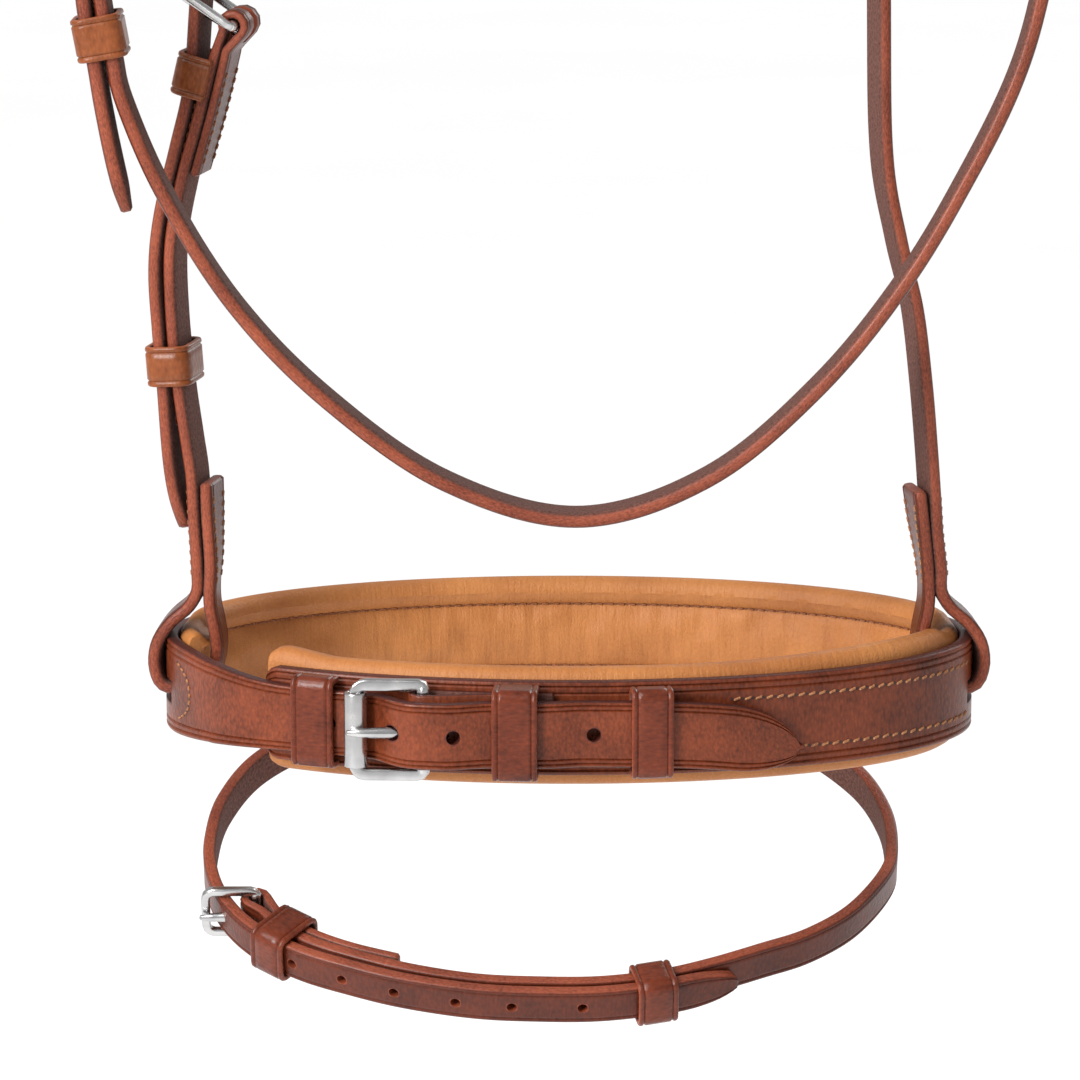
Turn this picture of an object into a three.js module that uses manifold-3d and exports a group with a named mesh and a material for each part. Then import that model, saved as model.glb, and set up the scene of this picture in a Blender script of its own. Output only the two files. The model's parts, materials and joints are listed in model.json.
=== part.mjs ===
// A bitless bridle in bridle leather: a headpiece with a browband, two cheek straps that carry a padded
// noseband by sewn loops, a throat lash, and a flash strap that hangs below the noseband.
// Millimetres, +Z up, +Y towards the horse's nose. The origin is the middle of the headpiece's underside.
import * as THREE from 'three';
import { mergeVertices } from 'three/addons/utils/BufferGeometryUtils.js';
import Module from 'manifold-3d';

const wasm = await Module();
wasm.setup();

// ---- driving dimensions ----
const GAP = 0.3;                       // play between pieces that touch
const HEADPIECE_WIDTH = 38;            // across the poll
const HEADPIECE_THICK = 3.5;
const CHEEK_WIDTH = 13;                // cheek straps, billets and throat lash
const CHEEK_THICK = 3.3;
const CHAPE_THICK = 2.4;               // a strap end pared down before it is folded back
const THROAT_THICK = 3.8;
const CHEEK_Y = 12.5;                  // plane of the cheek straps
const THROAT_Y = -12.5;                // plane of the throat lash
const SPLIT_TOP = -66;                 // where the headpiece is split into two tails
const SWING_X = 80;                    // the tails end here, on the axis that the straps swing about
const SWING_Z = -120;
const CHEEK_TURN = 13;                 // degrees that the cheek straps are twisted out of square
const LOOP_TURN = 4;                   // degrees left where they reach the noseband
const LEAN = 1;                        // degrees that they lean to the nose, which hangs the whole at rest

const SLOT_Z = -491.6;                 // slots that the cheek loops pass through
const SLOT_HEIGHT = 8;
const SLOT_LENGTH = 17;
const SLOT_Y = CHEEK_Y + (SWING_Z - SLOT_Z) * Math.tan(THREE.MathUtils.degToRad(LEAN));
const RING = { x: 0, y: SLOT_Y + 3, z: -490, a: 103.2, b: 54 };  // noseband: the padding's outer face
const BAND_THICK = 3.5;                // outer leather of the noseband
const BAND_HEIGHT = 24.5;
const CHIN_HEIGHT = 17;                // the same leather where it narrows to the chin strap
const PAD_THICK = 7.7;
const PAD_HEIGHT = 32.5;
const LOOP_BED = 17;                   // the padding is nipped over this length by each cheek loop
const LOOP_INSIDE = 97.2;              // and left this far out there
const LOOP_NOTCH = -475.5;             // and this high

const FLASH_WIDTH = 10;
const FLASH_THICK = 3.3;
const FLASH_SLOPE = 22;                // degrees that the flash strap's plane falls towards the chin
const FLASH_ROOT = { y: RING.y + 64.5, z: -512.6 };  // the middle of the flash strap under the nose
const KEEPER_WALL = 1.8;
const HOLE_RADIUS = 1.8;

const LEATHER = 0x7a4030;
const KEEPER_LEATHER = 0x96602f;
const PADDING_LEATHER = 0xc98a45;
const STEEL = 0xb9bbbe;

// ---- small helpers ----
const rad = THREE.MathUtils.degToRad;
const v2 = (x, y) => new THREE.Vector2(x, y);
const v3 = (x, y, z) => new THREE.Vector3(x, y, z);
const points = (list) => list.map(([x, y]) => v2(x, y));
const mirrored = (list) => list.map(([x, y]) => [-x, y]);

/** A smooth line through hand-set points, cut into equal steps. */
function smooth(list, steps) {
  return new THREE.SplineCurve(points(list)).getSpacedPoints(steps);
}

/** Points on an arc, in degrees. */
function arc(cx, cy, radius, from, to, steps) {
  const result = [];
  for (let i = 0; i <= steps; i += 1) {
    const angle = rad(from + ((to - from) * i) / steps);
    result.push(v2(cx + radius * Math.cos(angle), cy + radius * Math.sin(angle)));
  }
  return result;
}

/** A function that runs smoothly through [place, value] knots and is level beyond them. */
function profile(knots) {
  return (place) => {
    if (place <= knots[0][0]) return knots[0][1];
    for (let i = 1; i < knots.length; i += 1) {
      const [x0, y0] = knots[i - 1];
      const [x1, y1] = knots[i];
      if (place <= x1) return y0 + (y1 - y0) * THREE.MathUtils.smoothstep(place, x0, x1);
    }
    return knots[knots.length - 1][1];
  };
}

/** A strap seen edge-on: a line given thickness, then extruded to the strap's width about its own plane. */
function ribbon(line, thickness, width) {
  const last = line.length - 1;
  const thicknessAt = typeof thickness === 'function' ? thickness : () => thickness;
  const leftSide = [];
  const rightSide = [];
  line.forEach((point, i) => {
    const along = line[Math.min(i + 1, last)].clone().sub(line[Math.max(i - 1, 0)]).normalize();
    const across = v2(-along.y, along.x).multiplyScalar(thicknessAt(i / last) / 2);
    leftSide.push(point.clone().add(across));
    rightSide.push(point.clone().sub(across));
  });
  return slab(new THREE.Shape([...leftSide, ...rightSide.reverse()]), width);
}

/** A flat shape extruded evenly to both sides of its plane. */
function slab(shape, width) {
  const geometry = new THREE.ExtrudeGeometry(shape, {
    depth: width, steps: 1, bevelEnabled: false, curveSegments: 5,
  });
  return geometry.translate(0, 0, -width / 2);
}

/** A rectangle with rounded corners, as a Shape or, given a Path, as a hole. */
function roundedRectangle(path, x0, y0, x1, y1, r) {
  path.moveTo(x0 + r, y0);
  path.lineTo(x1 - r, y0);
  path.absarc(x1 - r, y0 + r, r, -Math.PI / 2, 0, false);
  path.lineTo(x1, y1 - r);
  path.absarc(x1 - r, y1 - r, r, 0, Math.PI / 2, false);
  path.lineTo(x0 + r, y1);
  path.absarc(x0 + r, y1 - r, r, Math.PI / 2, Math.PI, false);
  path.lineTo(x0, y0 + r);
  path.absarc(x0 + r, y0 + r, r, Math.PI, 1.5 * Math.PI, false);
  return path;
}

/** A matrix that carries local x, y, z onto the given directions at the given place. */
function placed(origin, xAxis, zAxis) {
  const x = xAxis.clone().normalize();
  const z = zAxis.clone().normalize();
  const y = z.clone().cross(x);
  return new THREE.Matrix4().makeBasis(x, y, z).setPosition(origin);
}

/** A plane that straps are drawn in: its own x and y directions and the place of its origin. */
function drawingPlane(origin, xAxis, yAxis) {
  const normal = xAxis.clone().cross(yAxis);
  const matrix = new THREE.Matrix4().makeBasis(xAxis, yAxis, normal).setPosition(origin);
  const toWorld = (point) => v3(point.x, point.y, 0).applyMatrix4(matrix);
  const direction = (x, y) => xAxis.clone().multiplyScalar(x).add(yAxis.clone().multiplyScalar(y));
  return { matrix, toWorld, direction };
}

// ---- booleans ----
function toSolid(geometry) {
  const bare = geometry.clone();
  bare.deleteAttribute('normal');
  bare.deleteAttribute('uv');
  const merged = mergeVertices(bare, 1e-4);
  return new wasm.Manifold(new wasm.Mesh({
    numProp: 3,
    vertProperties: Float32Array.from(merged.attributes.position.array),
    triVerts: Uint32Array.from(merged.index.array),
  }));
}

function toGeometry(solid) {
  const mesh = solid.getMesh();
  const geometry = new THREE.BufferGeometry();
  geometry.setAttribute('position', new THREE.BufferAttribute(Float32Array.from(mesh.vertProperties), 3));
  geometry.setIndex(new THREE.BufferAttribute(Uint32Array.from(mesh.triVerts), 1));
  return geometry;
}

function cut(geometry, ...cutters) {
  return toGeometry(cutters.reduce((solid, cutter) => solid.subtract(toSolid(cutter)), toSolid(geometry)));
}

function join(geometry, ...others) {
  return toGeometry(others.reduce((solid, other) => solid.add(toSolid(other)), toSolid(geometry)));
}

function box(x0, y0, z0, x1, y1, z1) {
  const geometry = new THREE.BoxGeometry(x1 - x0, y1 - y0, z1 - z0);
  return geometry.translate((x0 + x1) / 2, (y0 + y1) / 2, (z0 + z1) / 2);
}

/** A round bar whose axis lies along local y. */
function crossBar(radius, length, x, z, sides) {
  return new THREE.CylinderGeometry(radius, radius, length, sides).translate(x, 0, z);
}

// ---- the finished group ----
const bridle = new THREE.Group();

function add(name, geometry, color, roughness, metalness) {
  geometry.computeVertexNormals();
  const mesh = new THREE.Mesh(geometry, new THREE.MeshStandardMaterial({ color, roughness, metalness }));
  mesh.name = name;
  bridle.add(mesh);
}

const addLeather = (name, geometry) => add(name, geometry, LEATHER, 0.5, 0);
const addKeeper = (name, geometry) => add(name, geometry, KEEPER_LEATHER, 0.45, 0);
const addSteel = (name, geometry) => add(name, geometry, STEEL, 0.3, 1);

// ---- buckles ----
/**
 * A buckle in its own frame: hinge bar on the origin, front bar at -x, tongue lying on the front bar's +z side.
 * Local y runs along the bars. The tongue pivots on the hinge bar.
 */
function makeBuckle({ reach, rise, inner, rail, thick, hingeRadius, barRadius, rollerRadius, tongueThick }) {
  const railOffset = inner / 2 + rail / 2;
  const fullWidth = inner + 2 * rail;
  const rails = [-railOffset, railOffset].map((y) => {
    const side = ribbon(points([[0, 0], [-reach, rise]]), thick, rail);
    return side.rotateX(Math.PI / 2).translate(0, y, 0);
  });
  const hingeBar = crossBar(hingeRadius, fullWidth, 0, 0, 12);
  const frontBar = crossBar(barRadius, fullWidth, -reach, rise, 12);
  const frame = join(rails[0], rails[1], hingeBar, frontBar);

  const topRadius = rollerRadius || barRadius;
  const eyeInner = hingeRadius + GAP;
  const eyeOuter = eyeInner + 1.3;
  const restZ = rise + topRadius + GAP + tongueThick / 2;
  const line = points([[0, eyeOuter - tongueThick / 2], [-reach * 0.5, restZ * 0.78], [-reach - 1.6, restZ]]);
  const tongue = (fatten) => {
    const eye = new THREE.Shape().absarc(0, 0, eyeOuter + fatten / 2, 0, 2 * Math.PI, false);
    const shaft = ribbon(line, tongueThick + fatten, tongueThick + fatten);
    const solid = join(slab(eye, tongueThick + fatten), shaft);
    return solid.rotateX(Math.PI / 2);
  };
  const eyeHole = crossBar(eyeInner, 3 * tongueThick, 0, 0, 16);
  const roller = rollerRadius
    ? cut(crossBar(rollerRadius, inner - 2 * GAP, 0, 0, 24), crossBar(barRadius + GAP, inner, 0, 0, 24))
      .translate(-reach, 0, rise)
    : null;
  return {
    frame,
    tongue: cut(tongue(0), eyeHole),
    roller,
    /** Room for the tongue in the strap it pierces, at every angle that it can take. */
    tongueRoom: (liftDegrees) => [0, liftDegrees / 2, liftDegrees].map(
      (lift) => tongue(2 * GAP).rotateY(rad(lift)),
    ),
  };
}

const SMALL_BUCKLE = {
  reach: 17, rise: 0, inner: 14, rail: 2.4, thick: 2.2, hingeRadius: 1.5, barRadius: 1.5, tongueThick: 2,
};
const FLASH_BUCKLE = { ...SMALL_BUCKLE, reach: 13.3, inner: 11, hingeRadius: 1.4, barRadius: 1.4 };
const NOSE_BUCKLE = {
  reach: 17, rise: 2.6, inner: 20, rail: 3.3, thick: 2.6, hingeRadius: 1.9, barRadius: 1.6,
  rollerRadius: 3, tongueThick: 2.2,
};
const TONGUE_LIFT = 6;                 // degrees: the frame's own play and the tongue's together

// ---- keepers ----
/**
 * A keeper across a strap: local x along the strap, y across it, z outwards from it.
 * A closed keeper goes all the way round; an open one is a staple whose feet are sewn down.
 */
function makeKeeper({ halfWidth, bottom, top, length, closed, wall = KEEPER_WALL }) {
  const shape = roundedRectangle(new THREE.Shape(), -halfWidth - wall, bottom, halfWidth + wall, top + wall, 1.6);
  if (closed) {
    shape.holes.push(roundedRectangle(new THREE.Path(), -halfWidth, bottom + wall, halfWidth, top, 0.6));
  }
  const block = slab(shape, length).applyMatrix4(placed(v3(0, 0, 0), v3(0, 1, 0), v3(1, 0, 0)));
  if (closed) return block;
  return cut(block, box(-length, -halfWidth, bottom - 1, length, halfWidth, top));
}

// ---- headpiece and browband ----
const HEADPIECE_HALF = [
  [18, 1.75], [30, -3], [44, -19], [56, -40], [66, -68], [74, -96], [SWING_X, SWING_Z], [83, -128],
];

function headpiece() {
  const right = smooth(HEADPIECE_HALF, 22);
  const left = smooth(mirrored(HEADPIECE_HALF), 22).reverse();
  const strap = ribbon([...left, ...right], HEADPIECE_THICK, HEADPIECE_WIDTH).rotateX(Math.PI / 2);
  const gapHalf = (CHEEK_Y - THROAT_Y - CHEEK_WIDTH) / 2;
  const split = box(-120, -gapHalf, -200, 120, gapHalf, SPLIT_TOP);
  const rootHole = new THREE.CylinderGeometry(gapHalf, gapHalf, 240, 16).rotateZ(Math.PI / 2);
  rootHole.translate(0, 0, SPLIT_TOP);
  const room = [CHEEK_Y, THROAT_Y].map((y) => swingEnd(y, CHEEK_WIDTH / 2 + GAP));
  const below = box(-120, -40, -200, 120, 40, SWING_Z);
  return cut(strap, split, rootHole, ...room, below);
}

/** The round end, across both sides of the bridle, that a swinging strap turns on. */
function swingEnd(y, radius) {
  const drum = new THREE.CylinderGeometry(radius, radius, 240, 32).rotateZ(Math.PI / 2);
  return drum.translate(0, y, SWING_Z);
}

/** Rounds the top of a strap that hangs from the swing axis. */
function roundTop(geometry, y) {
  const above = cut(box(-130, y - 20, SWING_Z, 130, y + 20, SWING_Z + 60), swingEnd(y, CHEEK_WIDTH / 2));
  return cut(geometry, above);
}

const BROWBAND_Z = -98;
const BROWBAND_HEIGHT = 16;
const BROWBAND_EYE = { x: 75, back: -19.8, radius: 6.3, front: 20 };
// The eye's end comes round in front of the tails and is sewn to the back of the browband.
const EYE_END = [[75, 43], [76.4, 35], [74.6, 29.4], [70, 24.6], [68, 17]];

function browband() {
  const { x, back, radius, front } = BROWBAND_EYE;
  const thick = CHEEK_THICK;
  const eye = [...smooth(EYE_END, 12), ...arc(x, back, radius, 180, 360, 10), v2(x + radius, front)];
  const half = [[x + radius, front], [x + 3, 48], [60, 82], [33, 108]];
  const brow = smooth([...half, [0, 117], ...mirrored(half).reverse()], 28);
  const farEye = eye.map((point) => v2(-point.x, point.y)).reverse();
  return ribbon([...eye, ...brow.slice(1, -1), ...farEye], thick, BROWBAND_HEIGHT).translate(0, 0, BROWBAND_Z);
}

addLeather('headpiece', headpiece());
addLeather('browband', browband());

// ---- cheek straps ----
const turnAt = profile([[-465, LOOP_TURN], [-440, CHEEK_TURN], [-285, CHEEK_TURN], [-135, 0]]);

/** Twists a piece on one cheek about the upright line through that cheek, then leans it to the nose. */
function hangCheek(geometry, side) {
  const centre = 97 * side;
  const position = geometry.attributes.position;
  for (let i = 0; i < position.count; i += 1) {
    const angle = side * rad(turnAt(position.getZ(i)));
    const x = position.getX(i) - centre;
    const y = position.getY(i) - CHEEK_Y;
    position.setX(i, centre + x * Math.cos(angle) - y * Math.sin(angle));
    position.setY(i, CHEEK_Y + x * Math.sin(angle) + y * Math.cos(angle));
  }
  return geometry.translate(0, -CHEEK_Y, -SWING_Z).rotateX(rad(LEAN)).translate(0, CHEEK_Y, SWING_Z);
}

const cheekPlane = drawingPlane(v3(0, CHEEK_Y, 0), v3(1, 0, 0), v3(0, 0, 1));
const LEFT = -1;
const RIGHT = 1;

// The loop that holds the noseband, drawn for the right side, from the outer layer to the inner one.
const LOOP = [
  [97.4, -462], [99.4, -467], [103.4, -471.4], [107.6, -475.4], [109.6, -480], [109.8, -485.5], [107.8, -490.2],
  [101, -491.6], [96.5, -491], [94.6, -487.2], [94.5, -481], [94.8, -475], [94.5, -470], [94, -464],
];
const RIGHT_CHEEK = [
  [80, -112], [80, -120], [79.2, -180], [77.8, -250], [78.4, -312], [79.8, -350], [84, -372], [88.6, -390],
  [91.4, -410], [93.2, -428], [94.8, -446], [96.2, -455], ...LOOP, [93.2, -457], [91.4, -447], [90, -438],
];

function rightCheekStrap() {
  const line = smooth(RIGHT_CHEEK, 180);
  const strap = ribbon(line, CHEEK_THICK, CHEEK_WIDTH).applyMatrix4(cheekPlane.matrix);
  return hangCheek(roundTop(strap, CHEEK_Y), RIGHT);
}

const CHEEK_HINGE_BAR = { x: -84.3, z: -316 };
const CHEEK_FOLD_RADIUS = 3;           // middle of the pared leather round the hinge bar
const LEFT_CHEEK = [
  [-88.4, -321], [-91.4, -330], [-94.6, -342], [-98.9, -357], [-102.2, -374], [-102.1, -393], [-100.6, -411],
  [-98.7, -425], [-97.3, -436], [-97, -452], ...mirrored(LOOP), [-93.4, -457], [-93.4, -447], [-93.5, -436],
];
const LEFT_CHAPE = [[-95.3, -355], [-91.4, -342], [-88.4, -331], [-86.3, -322.5]];
const CHAPE_LAYERS = profile([[0.14, CHAPE_THICK], [0.18, CHEEK_THICK]]);

function leftCheekStrap() {
  const { x, z } = CHEEK_HINGE_BAR;
  const chape = smooth(LEFT_CHAPE, 8);
  const fold = arc(x, z, CHEEK_FOLD_RADIUS, -50, 205, 12);
  const line = [...chape, ...fold, ...smooth(LEFT_CHEEK, 130)];
  const strap = ribbon(line, CHAPE_LAYERS, CHEEK_WIDTH).applyMatrix4(cheekPlane.matrix);
  const tongueSlot = box(x - 5.4, CHEEK_Y - 1.6, z - 5, x + 5.4, CHEEK_Y + 1.6, z + 5.4);
  return hangCheek(cut(strap, tongueSlot), LEFT);
}

const LEFT_BILLET = [
  [-80, -112], [-80, -120], [-84, -180], [-89.4, -250], [-93.4, -298], [-94.6, -314], [-96.4, -332],
  [-100.4, -348], [-105, -366], [-106.6, -380], [-105.9, -396], [-104.9, -410], [-103.4, -432], [-100.4, -449],
];

/** Pares the end of a strap to a blunt point, in the drawing plane's width direction. */
function pointTip(geometry, tip, along, halfWidth, length) {
  const outline = new THREE.Shape();
  outline.moveTo(2, -halfWidth - 4);
  outline.lineTo(2, halfWidth + 4);
  outline.lineTo(-length, halfWidth + 4);
  outline.lineTo(-length, halfWidth);
  outline.quadraticCurveTo(-length * 0.45, halfWidth * 0.9, 0, 0.6);
  outline.lineTo(0, -0.6);
  outline.quadraticCurveTo(-length * 0.45, -halfWidth * 0.9, -length, -halfWidth);
  outline.lineTo(-length, -halfWidth - 4);
  const direction = along.clone().normalize();
  const across = v3(0, 1, 0);
  const cutter = slab(outline, 30);
  const matrix = new THREE.Matrix4().makeBasis(direction, across, direction.clone().cross(across));
  return cut(geometry, cutter.applyMatrix4(matrix.setPosition(tip)));
}

const cheekBuckle = makeBuckle(SMALL_BUCKLE);
const BUCKLE_TILT = 33;                // degrees that the frame rises from level, outwards
const hingeOut = v3(-Math.cos(rad(BUCKLE_TILT)), 0, Math.sin(rad(BUCKLE_TILT)));
const tongueSide = v3(-Math.sin(rad(BUCKLE_TILT)), 0, -Math.cos(rad(BUCKLE_TILT)));

function threadedBucklePlace(barX, barY, barZ) {
  return placed(v3(barX, barY, barZ), hingeOut.clone().negate(), tongueSide);
}

const cheekBucklePlace = threadedBucklePlace(CHEEK_HINGE_BAR.x, CHEEK_Y, CHEEK_HINGE_BAR.z);

function leftBillet() {
  const strap = ribbon(smooth(LEFT_BILLET, 40), CHEEK_THICK, CHEEK_WIDTH).applyMatrix4(cheekPlane.matrix);
  const room = cheekBuckle.tongueRoom(TONGUE_LIFT).map((piece) => piece.applyMatrix4(cheekBucklePlace));
  const tip = v3(-100.4, CHEEK_Y, -449);
  const pointed = pointTip(roundTop(strap, CHEEK_Y), tip, v3(3, 0, -17), CHEEK_WIDTH / 2, 12);
  return hangCheek(cut(pointed, ...room), LEFT);
}

/** A keeper round a strap on the left cheek, where the strap runs down in the given direction. */
function sideKeeper(spec, x, y, z, down) {
  const outward = v3(0, 1, 0).cross(down);
  return makeKeeper(spec).applyMatrix4(placed(v3(x, y, z), down, outward));
}

const HALF_KEEPER = CHEEK_WIDTH / 2 + GAP;
const UPPER_KEEPER = { halfWidth: HALF_KEEPER, bottom: -3.6, top: 4.9, length: 11, closed: false, wall: 1.6 };
const LOWER_KEEPER = { halfWidth: HALF_KEEPER, bottom: -6.2, top: 4.4, length: 10.5, closed: true, wall: 1.6 };

addLeather('right_cheek_strap', rightCheekStrap());
addLeather('left_cheek_strap', leftCheekStrap());
addLeather('left_cheek_billet', leftBillet());
addKeeper('cheek_keeper_fixed', hangCheek(
  sideKeeper(UPPER_KEEPER, -93.9, CHEEK_Y, -329.5, v3(-3, 0, -12)), LEFT));
addKeeper('cheek_keeper_running', hangCheek(
  sideKeeper(LOWER_KEEPER, -103.2, CHEEK_Y, -405, v3(1.2, 0, -17)), LEFT));
addSteel('cheek_buckle_frame', hangCheek(cheekBuckle.frame.clone().applyMatrix4(cheekBucklePlace), LEFT));
addSteel('cheek_buckle_tongue', hangCheek(cheekBuckle.tongue.clone().applyMatrix4(cheekBucklePlace), LEFT));

// ---- throat lash ----
const throatPlane = drawingPlane(v3(0, THROAT_Y, 0), v3(1, 0, 0), v3(0, 0, 1));
const THROAT_HINGE_BAR = { x: -111.6, z: -278 };
const THROAT_FOLD_RADIUS = 3.1;
const THROAT_CHAPE = [[-115.4, -297], [-113.4, -289]];
const THROAT_LASH = [
  [-115.6, -282], [-117.6, -292], [-117.7, -302], [-116.6, -312], [-114.6, -322], [-112.2, -333], [-107.2, -346.6],
  [-102.4, -356.3], [-95.5, -370.3], [-88.8, -380], [-78.3, -392.3], [-68, -402.9], [-57.6, -412.7],
  [-44.4, -422.6], [-31.2, -430.7], [-18.2, -436.1], [-7.7, -438.8], [2, -440], [14.3, -438], [27.6, -433.3],
  [41.6, -425.2], [53.8, -414.5], [66.9, -402.1], [76.3, -389.8], [84.8, -378.2], [93.2, -364.9],
  [100.8, -350.2], [107.6, -337], [111.6, -327.4], [115, -317.1], [117, -307.6], [120.4, -285], [121.6, -255],
  [118, -215], [108.5, -178], [94.5, -147], [80, -120], [76, -113],
];
const THROAT_LAYERS = profile([[0.13, CHAPE_THICK], [0.17, THROAT_THICK]]);

function throatLash() {
  const { x, z } = THROAT_HINGE_BAR;
  const chape = smooth(THROAT_CHAPE, 5);
  const fold = arc(x, z, THROAT_FOLD_RADIUS, -45, 205, 12);
  const line = [...chape, ...fold, ...smooth(THROAT_LASH, 104)];
  const strap = ribbon(line, THROAT_LAYERS, CHEEK_WIDTH).applyMatrix4(throatPlane.matrix);
  const tongueSlot = box(x - 5.4, THROAT_Y - 1.6, z - 5, x + 5.4, THROAT_Y + 1.6, z + 5.4);
  return cut(roundTop(strap, THROAT_Y), tongueSlot);
}

const THROAT_BILLET = [
  [-76, -113], [-80, -120], [-94.5, -147], [-107.5, -178], [-116.5, -215], [-119.8, -245], [-120.6, -262],
  [-120.9, -278], [-122, -294], [-121.6, -308], [-119.2, -323], [-117.6, -334], [-115.4, -347], [-112.6, -361],
];

const throatBucklePlace = threadedBucklePlace(THROAT_HINGE_BAR.x, THROAT_Y, THROAT_HINGE_BAR.z);

function throatBillet() {
  const line = smooth(THROAT_BILLET, 40);
  const strap = ribbon(line, THROAT_THICK, CHEEK_WIDTH).applyMatrix4(throatPlane.matrix);
  const room = cheekBuckle.tongueRoom(TONGUE_LIFT).map((piece) => piece.applyMatrix4(throatBucklePlace));
  const tip = v3(-112.6, THROAT_Y, -361);
  const pointed = pointTip(roundTop(strap, THROAT_Y), tip, v3(3, 0, -14), CHEEK_WIDTH / 2, 14);
  return cut(pointed, ...room);
}

const THROAT_KEEPER = { halfWidth: HALF_KEEPER, bottom: -6.4, top: 4.8, length: 11, closed: true, wall: 1.6 };

addLeather('throat_lash', throatLash());
addLeather('throat_billet', throatBillet());
addKeeper('throat_keeper', sideKeeper(THROAT_KEEPER, -117.9, THROAT_Y, -316.5, v3(2.1, 0, -12)));
addSteel('throat_buckle_frame', cheekBuckle.frame.clone().applyMatrix4(throatBucklePlace));
addSteel('throat_buckle_tongue', cheekBuckle.tongue.clone().applyMatrix4(throatBucklePlace));

// ---- noseband ----
// Places on the noseband are arc lengths along RING: 0 nearest the chin, growing to the right, over the nose,
// and round to the left. Heights w are measured outwards from the padding's outer face.
const RING_STEPS = 1440;
const ringLengths = [0];
for (let i = 1; i <= RING_STEPS; i += 1) {
  const angle = rad(((i - 0.5) * 360) / RING_STEPS - 90);
  const speed = Math.hypot(RING.a * Math.sin(angle), RING.b * Math.cos(angle));
  ringLengths.push(ringLengths[i - 1] + (speed * 2 * Math.PI) / RING_STEPS);
}
const PERIMETER = ringLengths[RING_STEPS];

function ringAngle(place) {
  const laps = Math.floor(place / PERIMETER);
  const rest = place - laps * PERIMETER;
  const i = ringLengths.findIndex((length) => length > rest);
  const part = (rest - ringLengths[i - 1]) / (ringLengths[i] - ringLengths[i - 1]);
  return ((i - 1 + part) * 360) / RING_STEPS - 90;
}

function ringNormal(place) {
  const angle = rad(ringAngle(place));
  return v2(Math.cos(angle) / RING.a, Math.sin(angle) / RING.b).normalize();
}

function ringPoint(place, w) {
  const angle = rad(ringAngle(place));
  const base = v2(RING.x + RING.a * Math.cos(angle), RING.y + RING.b * Math.sin(angle));
  return base.addScaledVector(ringNormal(place), w);
}

/** A local frame on the noseband: x along it, y up, z outwards. */
function ringPlace(place, w) {
  const point = ringPoint(place, w);
  const normal = ringNormal(place);
  return placed(v3(point.x, point.y, RING.z), v3(-normal.y, normal.x, 0), v3(normal.x, normal.y, 0));
}

/** Places from one arc length to another, with short steps round the tight ends of the oval. */
function ringPlaces(from, to, step) {
  const count = Math.round((to - from) / step);
  return Array.from({ length: count + 1 }, (_, i) => from + ((to - from) * i) / count);
}

const LEFT_END = PERIMETER - 81;       // where the padding starts, under the chin on the left
const PAD_START = LEFT_END - PERIMETER;
const PAD_STOP = PERIMETER * 0.75 + 14;
const BAND_START = PAD_START + 1.5;
const CHIN_ROOT = PERIMETER * 0.75 + 8;
const HINGE_PLACE = PERIMETER - 36;
const TIP_PLACE = PERIMETER + 58.5;
const ROLLER_PLACE = HINGE_PLACE - NOSE_BUCKLE.reach;

/** Height of the outer leather's inner face. */
const bandLift = profile([
  [PERIMETER * 0.75 + 16, 0], [PERIMETER - 76, 3.8], [ROLLER_PLACE - 2, 3.8], [ROLLER_PLACE + 3, 4.4],
  [HINGE_PLACE - 1, 11.9], [HINGE_PLACE + 5, 11.9], [PERIMETER - 18, 7.9], [PERIMETER - 6, 7.6],
  [PERIMETER + 3, 5.8], [PERIMETER + 42, 5.8], [TIP_PLACE, 4.3],
]);
const bandHeight = profile([
  [CHIN_ROOT, BAND_HEIGHT], [PERIMETER - 66, CHIN_HEIGHT], [TIP_PLACE - 15, CHIN_HEIGHT],
  [TIP_PLACE - 6, 0.78 * CHIN_HEIGHT], [TIP_PLACE, 3],
]);

function slotCutter() {
  const low = SLOT_Z - SLOT_HEIGHT / 2;
  const [back, front] = [SLOT_Y - SLOT_LENGTH / 2, SLOT_Y + SLOT_LENGTH / 2];
  return [box(80, back, low, 120, front, low + SLOT_HEIGHT), box(-120, back, low, -80, front, low + SLOT_HEIGHT)];
}

/** Scales a band's height, about its middle, by where each of its points lies along the line it was made on. */
function narrowBand(geometry, line, places, heightAt, fullHeight) {
  const position = geometry.attributes.position;
  for (let i = 0; i < position.count; i += 1) {
    const here = v2(position.getX(i), position.getY(i));
    let nearest = 0;
    line.forEach((point, k) => {
      if (point.distanceToSquared(here) < line[nearest].distanceToSquared(here)) nearest = k;
    });
    position.setZ(i, (position.getZ(i) * heightAt(places[nearest])) / fullHeight);
  }
  return geometry;
}

const noseBuckle = makeBuckle(NOSE_BUCKLE);
const NOSE_HINGE_HEIGHT = 7.6;
const noseBucklePlace = ringPlace(HINGE_PLACE, NOSE_HINGE_HEIGHT);
const CHIN_HOLES = [-61, -28.5, -12, 4.5, 21].map((place) => PERIMETER + place);

function strapHole(place, w) {
  const hole = new THREE.CylinderGeometry(HOLE_RADIUS, HOLE_RADIUS, 1.5 * BAND_THICK, 10).rotateX(Math.PI / 2);
  return hole.applyMatrix4(ringPlace(place, w));
}

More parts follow.
